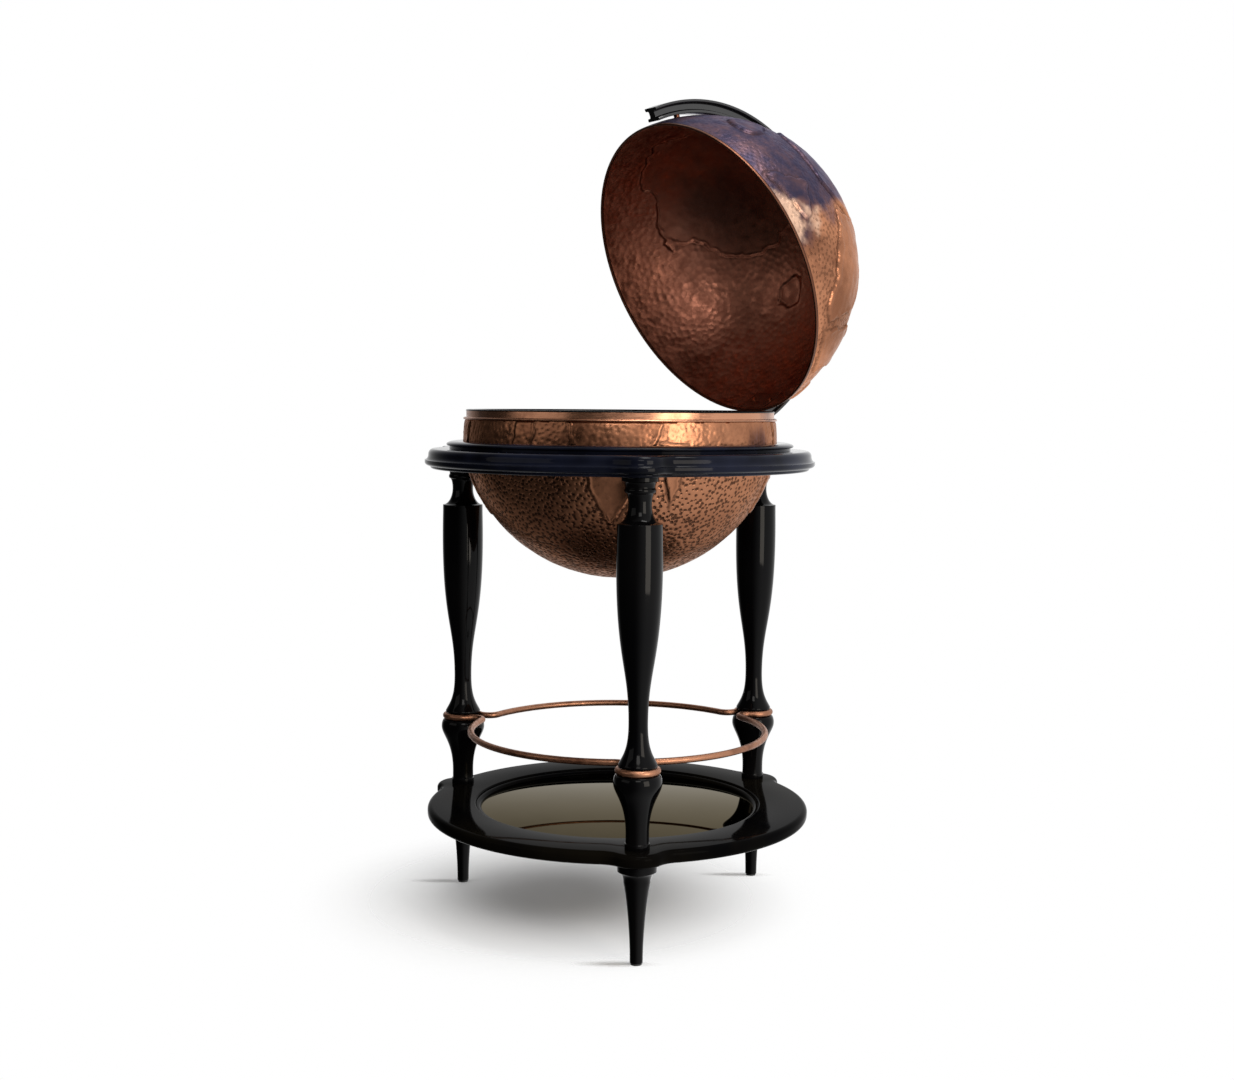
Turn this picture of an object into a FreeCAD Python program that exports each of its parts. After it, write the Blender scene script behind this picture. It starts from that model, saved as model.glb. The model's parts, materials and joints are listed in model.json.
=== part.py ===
import FreeCAD, Part
import math
import os

# Floor globe bar: a copper globe in a lacquered stand on three turned legs, in millimetres.
# The origin is on the floor under the globe's axis, +Z is up and the lid's hinge is at +Y.
# At rest the lid is open and lies on its stop.

# Globe: the lid's outer radius, and what the bowl's radii add to it or take from it
GLOBE_R = 243.0
BOWL_SWELL = 4.0
BAND_INSET = 2.6
BAND_FOOT_INSET = 1.4
BAND_TOP_INSET = 2.4
BAND_HEIGHT = 32.5
BOWL_WALL = 2.5

# Legs: heights are up from the shelf (rise) or down from the ring (drop)
LEG_REAR_ANGLE = 90.0
LEG_STEP_ANGLE = 120.0
LEG_SETBACK = 38.1
LEG_LENGTH = 522.0
LEG_BASE_R = 18.0
LEG_BASE_HEIGHT = 8.0
LEG_ANKLE_R = 16.6
LEG_ANKLE_RISE = 21.0
LEG_BULB_R = 34.8
LEG_BULB_RISE = 94.0
LEG_BULB_TOP_R = 29.5
LEG_GROOVE_R = 22.5
LEG_GROOVE_RISE = 106.5
LEG_LIP_R = 28.0
LEG_LIP_HEIGHT = 2.5
LEG_WAIST_R = 13.7
LEG_WAIST_RISE = 178.0
LEG_BODY_R = 32.6
LEG_BODY_DROP = 116.0
LEG_SHOULDER_R = 32.0
LEG_SHOULDER_DROP = 64.5
LEG_NECK_R = 16.5
LEG_NECK_DROP = 38.0
LEG_BEAD_R = 22.5
LEG_BEAD_PROUD = 1.5
LEG_BEAD_HEIGHT = 7.0
LEG_HEAD_R = 26.0
LEG_HEAD_HEIGHT = 6.0
LEG_HEAD_COVE = 9.0

# How far each turned curve runs upright at its lower and upper end, as shares of its rise
ANKLE_SHARES = (0.63, 0.20)
FLARE_SHARES = (0.23, 0.61)
FLARE_LEAN_SHARE = 0.52
TAPER_SHARES = (0.35, 0.61)
BODY_SHARES = (0.50, 0.30)
FOOT_SHARES = (0.34, 0.29)
FOOT_LEAN_SHARE = 0.63
QUARTER_ROUND_SHARE = 0.5523

# Feet and floor glides
FOOT_HEIGHT = 147.0
FOOT_FLANGE_R = 28.2
FOOT_FLANGE_HEIGHT = 12.0
FOOT_COVE_R = 19.4
FOOT_COVE_HEIGHT = 16.0
FOOT_TIP_R = 9.3
GLIDE_R = 8.0
GLIDE_HEIGHT = 2.5
GLIDE_SPIGOT_R = 2.5
GLIDE_SPIGOT_LENGTH = 12.0

# Studs between leg and foot, and between leg and ring
STUD_R = 5.0
STUD_IN_FOOT = 45.0
STUD_IN_LEG = 45.0
TOP_STUD_R = 4.0
TOP_STUD_IN_LEG = 40.0
TOP_STUD_IN_RING = 18.0
STUD_FIT = 0.1
STUD_END_GAP = 2.0

# Lobes at the legs, on the outline of the shelf and of the horizon ring
LOBE_R = 42.0
LOBE_FILLET_R = 40.0

# Lower shelf
SHELF_OVERHANG = 18.5
SHELF_THICKNESS = 20.0
SHELF_EDGE_ROUND = 8.0
SHELF_BORDER = 24.0
SHELF_HOLE_SETBACK = 56.5
SHELF_HOLE_ROUND = 2.5
BORDER_LAP = 5.0
PANEL_LAP = 12.0
PANEL_THICKNESS = 8.0
PANEL_FIT = 0.2
MIRROR_THICKNESS = 4.0
MIRROR_FIT = 0.3
MIRROR_BEAD_WIDTH = 8.5
MIRROR_BEAD_HEIGHT = 5.0
PANEL_SCREW_COUNT = 6
PANEL_SCREW_R = 2.0
PANEL_SCREW_LENGTH = 16.0
PANEL_SCREW_HEAD_R = 4.0
PANEL_SCREW_HEAD_HEIGHT = 2.4

# Gallery rail
RAIL_D = 10.0
RAIL_SETBACK = 48.5
RAIL_THROAT_R = 17.0
RAIL_SIDE_PLAY = 0.6
RAIL_FIT = 0.2

# Horizon ring: its moulding as insets from the nose and heights above the underside
RING_OVERHANG = 21.5
RING_THICKNESS = 30.0
RING_BOWL_GAP = 1.6
RING_UNDER_INSET = 12.0
RING_UNDER_HEIGHT = 3.0
RING_STEP_INSET = 8.5
RING_STEP_HEIGHT = 4.2
RING_NOSE_LOW = 9.5
RING_NOSE_HIGH = 13.5
RING_COVE_INSET = 5.4
RING_COVE_HIGH = 21.5
RING_TOP_INSET = 13.0
RING_BORDER = 26.0

# Cap moulding on the ring
CAP_THICKNESS = 12.0
CAP_BOWL_GAP = 1.0
CAP_STEP_WIDTH = 6.2
CAP_STEP_HEIGHT = 4.5
CAP_LIP_OVERHANG = 4.5
CAP_LIP_RISE = 2.5
CAP_CROWN = 15.0
CAP_REBATE_PLAY = 0.3

# Flange that carries the bowl, and the rim above the band
FLANGE_WIDTH = 15.5
FLANGE_THICKNESS = 3.0
FLANGE_FIT = 0.1
FLANGE_SCREW_COUNT = 6
FLANGE_SCREW_R = 2.0
FLANGE_SCREW_IN_RING = 15.0
FLANGE_SCREW_HEAD_R = 4.0
FLANGE_SCREW_HEAD_HEIGHT = 2.2
BEAD_PROUD = 0.8
BEAD_HEIGHT = 4.0
COLLAR_INSET = 3.8
COLLAR_WALL = 2.5
COLLAR_HEIGHT = 9.5
SPIGOT_DEPTH = 15.0
SPIGOT_FIT = 0.2

# Lift-out tray in the bowl
TRAY_DEPTH = 77.0
TRAY_WALL = 6.0
TRAY_FLOOR = 6.0
TRAY_FIT = 0.5
TRAY_LIP_HEIGHT = 2.2
TRAY_LIP_OVERHANG = 0.8

# Lid
LID_WALL = 2.5
LID_OPEN_ANGLE = 65.0
LID_SEAT_GAP = 0.3
HOOP_HEIGHT = 4.5
HOOP_INSET = 0.8
HOOP_ROUND = 1.5

# Meridian arm: angles are measured up from the lid's mouth
ARM_GAP = 3.8
ARM_DEPTH = 21.0
ARM_WIDTH = 28.0
ARM_FLANGE = 5.0
ARM_WEB = 13.0
ARM_BEVEL = 1.2
ARM_REAR_ANGLE = 3.5
ARM_FRONT_ANGLE = 1.4
POST_ANGLE = 12.0
POST_R = 4.6
POST_FIT = 0.1
POST_SCREW_R = 2.0
POST_SCREW_HEAD_R = 4.0
POST_SCREW_HEAD_HEIGHT = 2.2
POST_SCREW_IN_ARM = 3.5

# Hinge: pivot place, clevis block on the stand and leaf on the lid
HINGE_SETBACK = 19.1
HINGE_DROP = 10.5
PIN_R = 4.0
PIN_FIT = 0.05
PIN_HEAD_R = 6.5
PIN_HEAD_HEIGHT = 3.0
PIN_HEAD_ROUND = 2.0
KNUCKLE_R = 9.5
KNUCKLE_HALF_WIDTH = 13.0
CHEEK_GAP = 0.4
CHEEK_THICKNESS = 11.5
BLOCK_HALF_WIDTH = 27.0
BLOCK_FRONT_GAP = 1.8
BLOCK_DEPTH = 46.0
BLOCK_HEIGHT = 14.5
BLOCK_CAP_GAP = 1.0
BLOCK_SCREW_X = 19.0
BLOCK_SCREW_INSET = 9.0
BLOCK_SCREW_R = 2.5
BLOCK_SCREW_IN_RING = 15.0
BLOCK_SCREW_HEAD_R = 4.6
BLOCK_SCREW_HEAD_HEIGHT = 2.8
STOP_HALF_WIDTH = 9.0
STOP_INSET = 2.5
STOP_DEPTH = 13.0
STOP_GAP = 0.3
LEAF_HALF_WIDTH = 26.0
LEAF_GAP = 0.25
LEAF_THICKNESS = 3.2
LEAF_TOP_ANGLE = 15.0
SHOE_LOW_ANGLE = -1.5
ROLL_R = 4.5
LEAF_CAP_R = 4.2
LEAF_CAP_HEIGHT = 2.6
LEAF_CAP_ROUND = 2.0
BACKING_THICKNESS = 2.5
BACKING_HALF_WIDTH = 30.0
BACKING_LOW_ANGLE = 2.0
BACKING_HIGH_ANGLE = 12.5
BACKING_FIT = 0.1
LEAF_SCREW_X = 20.0
LEAF_SCREW_ANGLE = 7.5
LEAF_SCREW_R = 2.0
LEAF_SCREW_HEAD_R = 4.2
LEAF_SCREW_HEAD_HEIGHT = 2.2
LEAF_SCREW_END_GAP = 0.6
SCREW_FIT = 0.1
CUT_OVERRUN = 1.0

# Radii and levels that follow from the driving dimensions
LEG_ANGLES = {"rear": LEG_REAR_ANGLE, "front_left": LEG_REAR_ANGLE + LEG_STEP_ANGLE,
              "front_right": LEG_REAR_ANGLE + 2 * LEG_STEP_ANGLE}
BOWL_R = GLOBE_R + BOWL_SWELL
BAND_R = GLOBE_R - BAND_INSET
BAND_FOOT_R = BAND_R - BAND_FOOT_INSET
BAND_TOP_R = BAND_R - BAND_TOP_INSET
BEAD_R = BAND_R + BEAD_PROUD
COLLAR_R = BAND_R - COLLAR_INSET
SPIGOT_R = BAND_TOP_R - BOWL_WALL - SPIGOT_FIT
TRAY_R = SPIGOT_R - COLLAR_WALL - TRAY_FIT
FLANGE_R = BAND_R + FLANGE_FIT + FLANGE_WIDTH
CAP_STEP_R = FLANGE_R + CAP_REBATE_PLAY + CAP_STEP_WIDTH
CAP_LIP_R = CAP_STEP_R + CAP_LIP_OVERHANG
LEG_CIRCLE_R = BAND_R + LEG_SETBACK
RING_R = LEG_CIRCLE_R + RING_OVERHANG
SHELF_R = LEG_CIRCLE_R + SHELF_OVERHANG
SHELF_HOLE_R = LEG_CIRCLE_R - SHELF_HOLE_SETBACK
RAIL_CIRCLE_R = LEG_CIRCLE_R - RAIL_SETBACK
RAIL_LOOP_R = LEG_GROOVE_R + RAIL_FIT + RAIL_D / 2
GROOVE_HEIGHT = RAIL_D + 2 * RAIL_SIDE_PLAY
SHELF_TOP = FOOT_HEIGHT + SHELF_THICKNESS
RAIL_Z = SHELF_TOP + LEG_GROOVE_RISE + RAIL_FIT + RAIL_D / 2
RING_BOTTOM = SHELF_TOP + LEG_LENGTH
RING_TOP = RING_BOTTOM + RING_THICKNESS
CAP_TOP = RING_TOP + CAP_THICKNESS
BAND_TOP = CAP_TOP + BAND_HEIGHT
SEAT = BAND_TOP + BEAD_HEIGHT
COLLAR_TOP = SEAT + COLLAR_HEIGHT
TRAY_FLOOR_TOP = COLLAR_TOP - TRAY_DEPTH
MOUTH = SEAT + LID_SEAT_GAP
LID_INNER_R = GLOBE_R - LID_WALL
ARM_INNER_R = GLOBE_R + ARM_GAP
ARM_OUTER_R = ARM_INNER_R + ARM_DEPTH
BLOCK_FRONT = BEAD_R + BLOCK_FRONT_GAP
BLOCK_REAR = BLOCK_FRONT + BLOCK_DEPTH
BLOCK_TOP = CAP_TOP + BLOCK_HEIGHT
CHEEK_OUTER = KNUCKLE_HALF_WIDTH + CHEEK_GAP + CHEEK_THICKNESS
ROLL_Y = GLOBE_R + LEAF_GAP + ROLL_R
BACKING_OUTER_R = LID_INNER_R - BACKING_FIT
BACKING_INNER_R = BACKING_OUTER_R - BACKING_THICKNESS

V = FreeCAD.Vector
ORIGIN = V(0, 0, 0)
X_AXIS = V(1, 0, 0)
Y_AXIS = V(0, 1, 0)
Z_AXIS = V(0, 0, 1)
FULL_TURN = 360
RIGHT_ANGLE = 90.0
SAME_POINT = 1e-6
PIVOT = V(0, BAND_R + HINGE_SETBACK, MOUTH - HINGE_DROP)
LID_CENTRE = V(0, 0, MOUTH)


class Outline:
    """A closed outline in the radius and height plane, drawn edge by edge."""

    def __init__(self, r, z):
        self.start = V(r, 0, z)
        self.end = self.start
        self.edges = []

    def add(self, edge, target):
        self.edges.append(edge)
        self.end = target

    def line(self, r, z):
        target = V(r, 0, z)
        self.add(Part.makeLine(self.end, target), target)

    def arc(self, r_mid, z_mid, r, z):
        target = V(r, 0, z)
        self.add(Part.Arc(self.end, V(r_mid, 0, z_mid), target).toShape(), target)

    def curve(self, r1, z1, r2, z2, r, z):
        target = V(r, 0, z)
        bezier = Part.BezierCurve()
        bezier.setPoles([self.end, V(r1, 0, z1), V(r2, 0, z2), target])
        self.add(bezier.toShape(), target)

    def swell(self, r, z, shares, lean=0.0):
        """Run to a new radius, upright at both ends or leaning where it leaves."""
        rise = z - self.end.z
        r1 = self.end.x + lean * (r - self.end.x)
        self.curve(r1, self.end.z + shares[0] * rise, r, z - shares[1] * rise, r, z)

    def quarter_level(self, r, z):
        """A quarter round that leaves upright and arrives level."""
        r2 = r - QUARTER_ROUND_SHARE * (r - self.end.x)
        z1 = self.end.z + QUARTER_ROUND_SHARE * (z - self.end.z)
        self.curve(self.end.x, z1, r2, z, r, z)

    def quarter_upright(self, r, z):
        """A quarter round that leaves level and arrives upright."""
        r1 = self.end.x + QUARTER_ROUND_SHARE * (r - self.end.x)
        z2 = z - QUARTER_ROUND_SHARE * (z - self.end.z)
        self.curve(r1, self.end.z, r, z2, r, z)

    def face(self):
        if not self.end.isEqual(self.start, SAME_POINT):
            self.line(self.start.x, self.start.z)
        return Part.Face(Part.Wire(self.edges))

    def spin(self):
        return self.face().revolve(ORIGIN, Z_AXIS, FULL_TURN)


def polar(radius, angle, z=0.0):
    a = math.radians(angle)
    return V(radius * math.cos(a), radius * math.sin(a), z)


def post(radius, z_low, z_high, place=ORIGIN):
    return Part.makeCylinder(radius, z_high - z_low, V(place.x, place.y, z_low), Z_AXIS)


def bar_along_x(radius, x_low, x_high, y, z):
    return Part.makeCylinder(radius, x_high - x_low, V(x_low, y, z), X_AXIS)


def block(x_half, y_low, y_high, z_low, z_high):
    return Part.makeBox(2 * x_half, y_high - y_low, z_high - z_low, V(-x_half, y_low, z_low))


def fused(first, *others):
    return first.fuse(list(others)).removeSplitter()


def moved(shape, place):
    return shape.translated(V(place.x, place.y, 0))


def leg_places():
    return {name: polar(LEG_CIRCLE_R, angle) for name, angle in LEG_ANGLES.items()}


def around(count, radius):
    return [polar(radius, (i + 0.5) * FULL_TURN / count) for i in range(count)]


def arc_about(centre, start, end):
    """The shorter arc from start to end about a centre."""
    half_way = (start - centre).normalize() + (end - centre).normalize()
    middle = centre + half_way.normalize() * (start - centre).Length
    return Part.Arc(start, middle, end).toShape()


def lobed_wire(radius, lobe_r, fillet_r, z):
    """A circle with a lobe about each leg's axis, joined to it by hollow fillets."""
    away = radius + fillet_r
    reach = (away ** 2 - (lobe_r + fillet_r) ** 2 + LEG_CIRCLE_R ** 2) / (2 * LEG_CIRCLE_R)
    turn = math.degrees(math.acos(reach / away))
    edges = []
    first = polar(radius, 0, z)
    last = first
    for angle in sorted(LEG_ANGLES.values()):
        axis = polar(LEG_CIRCLE_R, angle, z)
        tip = polar(LEG_CIRCLE_R + lobe_r, angle, z)
        centres = [polar(away, angle + side * turn, z) for side in (-1, 1)]
        on_circle = [polar(radius, angle + side * turn, z) for side in (-1, 1)]
        on_lobe = [axis + (c - axis) * (lobe_r / (lobe_r + fillet_r)) for c in centres]
        edges.append(arc_about(V(0, 0, z), last, on_circle[0]))
        edges.append(arc_about(centres[0], on_circle[0], on_lobe[0]))
        edges.append(Part.Arc(on_lobe[0], tip, on_lobe[1]).toShape())
        edges.append(arc_about(centres[1], on_lobe[1], on_circle[1]))
        last = on_circle[1]
    edges.append(arc_about(V(0, 0, z), last, first))
    return Part.Wire(edges)


def lobed_board(radius, border, border_width, z_low, z_high):
    """A lobed board: a moulded border swept round it and a flat plate inside."""
    rim = lobed_wire(radius, LOBE_R, LOBE_FILLET_R, z_low).makePipe(border.face())
    inset = border_width - BORDER_LAP
    wire = lobed_wire(radius - inset, LOBE_R - inset, LOBE_FILLET_R + inset, z_low)
    plate = Part.Face(wire).extrude(V(0, 0, z_high - z_low))
    return fused(rim, plate)


def leg_blank():
    """The turned leg, standing on the shelf on its own axis."""
    groove_top = LEG_GROOVE_RISE + GROOVE_HEIGHT
    head = LEG_LENGTH - LEG_HEAD_HEIGHT
    bead_top = head - LEG_HEAD_COVE
    bead_low = bead_top - LEG_BEAD_HEIGHT
    bead_seat_r = LEG_BEAD_R - LEG_BEAD_PROUD
    leg = Outline(0, 0)
    leg.line(LEG_BASE_R, 0)
    leg.line(LEG_BASE_R, LEG_BASE_HEIGHT)
    leg.line(LEG_ANKLE_R, LEG_BASE_HEIGHT)
    leg.line(LEG_ANKLE_R, LEG_ANKLE_RISE)
    leg.swell(LEG_BULB_R, LEG_BULB_RISE, ANKLE_SHARES)
    leg.quarter_level(LEG_BULB_TOP_R, LEG_GROOVE_RISE)
    leg.line(LEG_GROOVE_R, LEG_GROOVE_RISE)
    leg.line(LEG_GROOVE_R, groove_top)
    leg.line(LEG_LIP_R, groove_top)
    leg.line(LEG_LIP_R, groove_top + LEG_LIP_HEIGHT)
    leg.swell(LEG_WAIST_R, LEG_WAIST_RISE, FLARE_SHARES, FLARE_LEAN_SHARE)
    leg.swell(LEG_BODY_R, LEG_LENGTH - LEG_BODY_DROP, TAPER_SHARES)
    leg.swell(LEG_SHOULDER_R, LEG_LENGTH - LEG_SHOULDER_DROP, BODY_SHARES)
    leg.quarter_upright(LEG_NECK_R, LEG_LENGTH - LEG_NECK_DROP)
    leg.quarter_level(bead_seat_r, bead_low)
    leg.arc(LEG_BEAD_R, (bead_low + bead_top) / 2, bead_seat_r, bead_top)
    leg.quarter_level(LEG_HEAD_R, head)
    leg.line(LEG_HEAD_R, LEG_LENGTH)
    leg.line(0, LEG_LENGTH)
    return leg.spin()


def make_leg():
    low_bore = post(STUD_R + STUD_FIT, 0, STUD_IN_LEG + STUD_END_GAP)
    top_bore_low = LEG_LENGTH - TOP_STUD_IN_LEG - STUD_END_GAP
    top_bore = post(TOP_STUD_R + STUD_FIT, top_bore_low, LEG_LENGTH)
    return leg_blank().cut([low_bore, top_bore]).translated(V(0, 0, SHELF_TOP))


def make_foot():
    cove_low = FOOT_HEIGHT - FOOT_FLANGE_HEIGHT - FOOT_COVE_HEIGHT
    rise = cove_low - GLIDE_HEIGHT
    lean_r = FOOT_COVE_R - FOOT_LEAN_SHARE * (FOOT_COVE_R - FOOT_TIP_R)
    foot = Outline(0, GLIDE_HEIGHT)
    foot.line(FOOT_TIP_R, GLIDE_HEIGHT)
    foot.curve(FOOT_TIP_R, GLIDE_HEIGHT + FOOT_SHARES[0] * rise,
               lean_r, cove_low - FOOT_SHARES[1] * rise, FOOT_COVE_R, cove_low)
    foot.quarter_level(FOOT_FLANGE_R, cove_low + FOOT_COVE_HEIGHT)
    foot.line(FOOT_FLANGE_R, FOOT_HEIGHT)
    foot.line(0, FOOT_HEIGHT)
    stud_bore = post(STUD_R + STUD_FIT, FOOT_HEIGHT - STUD_IN_FOOT - STUD_END_GAP, FOOT_HEIGHT)
    spigot_top = GLIDE_HEIGHT + GLIDE_SPIGOT_LENGTH + STUD_END_GAP
    spigot_bore = post(GLIDE_SPIGOT_R + STUD_FIT, GLIDE_HEIGHT, spigot_top)
    return foot.spin().cut([stud_bore, spigot_bore])


def make_glide():
    disc = post(GLIDE_R, 0, GLIDE_HEIGHT)
    return fused(disc, post(GLIDE_SPIGOT_R, 0, GLIDE_HEIGHT + GLIDE_SPIGOT_LENGTH))


def shelf_screw(place):
    head_top = FOOT_HEIGHT + PANEL_SCREW_HEAD_HEIGHT
    head = post(PANEL_SCREW_HEAD_R, FOOT_HEIGHT, head_top, place)
    return fused(head, post(PANEL_SCREW_R, FOOT_HEIGHT, FOOT_HEIGHT + PANEL_SCREW_LENGTH, place))


def shelf_screw_hole(place):
    head_top = FOOT_HEIGHT + PANEL_SCREW_HEAD_HEIGHT
    head = post(PANEL_SCREW_HEAD_R + SCREW_FIT, FOOT_HEIGHT, head_top, place)
    end = FOOT_HEIGHT + PANEL_SCREW_LENGTH + SCREW_FIT
    return fused(head, post(PANEL_SCREW_R + SCREW_FIT, FOOT_HEIGHT, end, place))


def panel_screw_places():
    return around(PANEL_SCREW_COUNT, SHELF_HOLE_R + PANEL_LAP / 2)


def shelf_border():
    border = Outline(SHELF_R - SHELF_BORDER, FOOT_HEIGHT)
    border.line(SHELF_R - SHELF_EDGE_ROUND, FOOT_HEIGHT)
    border.quarter_upright(SHELF_R, FOOT_HEIGHT + SHELF_EDGE_ROUND)
    border.line(SHELF_R, SHELF_TOP - SHELF_EDGE_ROUND)
    border.quarter_level(SHELF_R - SHELF_EDGE_ROUND, SHELF_TOP)
    border.line(SHELF_R - SHELF_BORDER, SHELF_TOP)
    return border


def shelf_opening():
    """The round hole of the shelf, with a rebate below for the panel."""
    rebate_r = SHELF_HOLE_R + PANEL_LAP + PANEL_FIT
    rebate_top = FOOT_HEIGHT + PANEL_THICKNESS
    hole = Outline(0, FOOT_HEIGHT - CUT_OVERRUN)
    hole.line(rebate_r, FOOT_HEIGHT - CUT_OVERRUN)
    hole.line(rebate_r, rebate_top)
    hole.line(SHELF_HOLE_R, rebate_top)
    hole.line(SHELF_HOLE_R, SHELF_TOP - SHELF_HOLE_ROUND)
    hole.quarter_level(SHELF_HOLE_R + SHELF_HOLE_ROUND, SHELF_TOP)
    hole.line(SHELF_HOLE_R + SHELF_HOLE_ROUND, SHELF_TOP + CUT_OVERRUN)
    hole.line(0, SHELF_TOP + CUT_OVERRUN)
    return hole.spin()


def make_shelf_frame():
    board = lobed_board(SHELF_R, shelf_border(), SHELF_BORDER, FOOT_HEIGHT, SHELF_TOP)
    studs = [post(STUD_R + STUD_FIT, FOOT_HEIGHT - CUT_OVERRUN, SHELF_TOP + CUT_OVERRUN, p)
             for p in leg_places().values()]
    screws = [shelf_screw_hole(p) for p in panel_screw_places()]
    return board.cut([shelf_opening()] + studs + screws)


def make_shelf_panel():
    panel = post(SHELF_HOLE_R + PANEL_LAP, FOOT_HEIGHT, FOOT_HEIGHT + PANEL_THICKNESS)
    return panel.cut([shelf_screw_hole(p) for p in panel_screw_places()])


def make_shelf_mirror():
    low = FOOT_HEIGHT + PANEL_THICKNESS
    return post(SHELF_HOLE_R - MIRROR_FIT, low, low + MIRROR_THICKNESS)


def make_mirror_bead():
    low = FOOT_HEIGHT + PANEL_THICKNESS + MIRROR_THICKNESS
    outer = SHELF_HOLE_R - MIRROR_FIT
    bead = Outline(outer - MIRROR_BEAD_WIDTH, low)
    bead.quarter_level(outer, low + MIRROR_BEAD_HEIGHT)
    bead.line(outer, low)
    return bead.spin()


def make_gallery_rail():
    path = lobed_wire(RAIL_CIRCLE_R, RAIL_LOOP_R, RAIL_THROAT_R, RAIL_Z)
    ring = Part.makeCircle(RAIL_D / 2, polar(RAIL_CIRCLE_R, 0, RAIL_Z), Y_AXIS)
    return path.makePipe(Part.Face(Part.Wire(ring)))


def ring_border():
    nose = RING_R
    inner = nose - RING_BORDER
    border = Outline(inner, RING_BOTTOM)
    border.line(nose - RING_UNDER_INSET, RING_BOTTOM)
    border.quarter_upright(nose - RING_STEP_INSET, RING_BOTTOM + RING_UNDER_HEIGHT)
    border.line(nose - RING_STEP_INSET, RING_BOTTOM + RING_STEP_HEIGHT)
    border.quarter_upright(nose, RING_BOTTOM + RING_NOSE_LOW)
    border.line(nose, RING_BOTTOM + RING_NOSE_HIGH)
    border.quarter_upright(nose - RING_COVE_INSET, RING_BOTTOM + RING_COVE_HIGH)
    border.quarter_level(nose - RING_TOP_INSET, RING_TOP)
    border.line(inner, RING_TOP)
    return border


def flange_screw_places():
    return around(FLANGE_SCREW_COUNT, (BAND_R + FLANGE_R) / 2)


def block_screw_places():
    return [V(side * BLOCK_SCREW_X, BLOCK_REAR - BLOCK_SCREW_INSET, 0) for side in (-1, 1)]


def make_horizon_ring():
    board = lobed_board(RING_R, ring_border(), RING_BORDER, RING_BOTTOM, RING_TOP)
    hole = post(BAND_R + RING_BOWL_GAP, RING_BOTTOM - CUT_OVERRUN, RING_TOP + CUT_OVERRUN)
    stud_end = RING_BOTTOM + TOP_STUD_IN_RING + STUD_END_GAP
    studs = [post(TOP_STUD_R + STUD_FIT, RING_BOTTOM, stud_end, p) for p in leg_places().values()]
    flange_low = RING_TOP - FLANGE_SCREW_IN_RING - SCREW_FIT
    flange_holes = [post(FLANGE_SCREW_R + SCREW_FIT, flange_low, RING_TOP, p)
                    for p in flange_screw_places()]
    block_low = RING_TOP - BLOCK_SCREW_IN_RING - SCREW_FIT
    block_holes = [post(BLOCK_SCREW_R + SCREW_FIT, block_low, RING_TOP, p)
                   for p in block_screw_places()]
    return board.cut([hole] + studs + flange_holes + block_holes)


def make_ring_cap():
    rebate_r = FLANGE_R + CAP_REBATE_PLAY
    rebate_top = RING_TOP + FLANGE_THICKNESS + FLANGE_SCREW_HEAD_HEIGHT + CAP_REBATE_PLAY
    step_top = RING_TOP + CAP_STEP_HEIGHT
    hole_r = BAND_R + CAP_BOWL_GAP
    cap = Outline(rebate_r, RING_TOP)
    cap.line(CAP_STEP_R, RING_TOP)
    cap.line(CAP_STEP_R, step_top)
    cap.quarter_upright(CAP_LIP_R, step_top + CAP_LIP_RISE)
    cap.quarter_level(CAP_LIP_R - CAP_CROWN, CAP_TOP)
    cap.line(hole_r, CAP_TOP)
    cap.line(hole_r, rebate_top)
    cap.line(rebate_r, rebate_top)
    return cap.spin()


def make_bowl_flange():
    ring = post(FLANGE_R, RING_TOP, RING_TOP + FLANGE_THICKNESS)
    hole = post(BAND_R + FLANGE_FIT, RING_TOP, RING_TOP + FLANGE_THICKNESS)
    screws = [post(FLANGE_SCREW_R + SCREW_FIT, RING_TOP, RING_TOP + FLANGE_THICKNESS, p)
              for p in flange_screw_places()]
    return ring.cut([hole] + screws)


def flange_screw(place):
    top = RING_TOP + FLANGE_THICKNESS
    head = post(FLANGE_SCREW_HEAD_R, top, top + FLANGE_SCREW_HEAD_HEIGHT, place)
    return fused(head, post(FLANGE_SCREW_R, RING_TOP - FLANGE_SCREW_IN_RING, top, place))


def sphere_drop(radius, r):
    """How far below its centre a sphere has the radius r."""
    return math.sqrt(radius ** 2 - r ** 2)


def make_bowl_shell():
    """A sphere below, drawn in to a nearly upright band above."""
    inner_r = BOWL_R - BOWL_WALL
    foot = SEAT - sphere_drop(BOWL_R, BAND_FOOT_R)
    inner_foot_r = BAND_FOOT_R - BOWL_WALL
    inner_foot = SEAT - sphere_drop(inner_r, inner_foot_r)
    band_mid = (foot + BAND_TOP) / 2
    slope = math.sqrt(0.5)
    bowl = Outline(0, SEAT - BOWL_R)
    bowl.arc(slope * BOWL_R, SEAT - slope * BOWL_R, BAND_FOOT_R, foot)
    bowl.arc(BAND_R, band_mid, BAND_TOP_R, BAND_TOP)
    bowl.line(BAND_TOP_R - BOWL_WALL, BAND_TOP)
    bowl.arc(BAND_R - BOWL_WALL, band_mid, inner_foot_r, inner_foot)
    bowl.arc(slope * inner_r, SEAT - slope * inner_r, 0, SEAT - inner_r)
    return bowl.spin()


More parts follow.
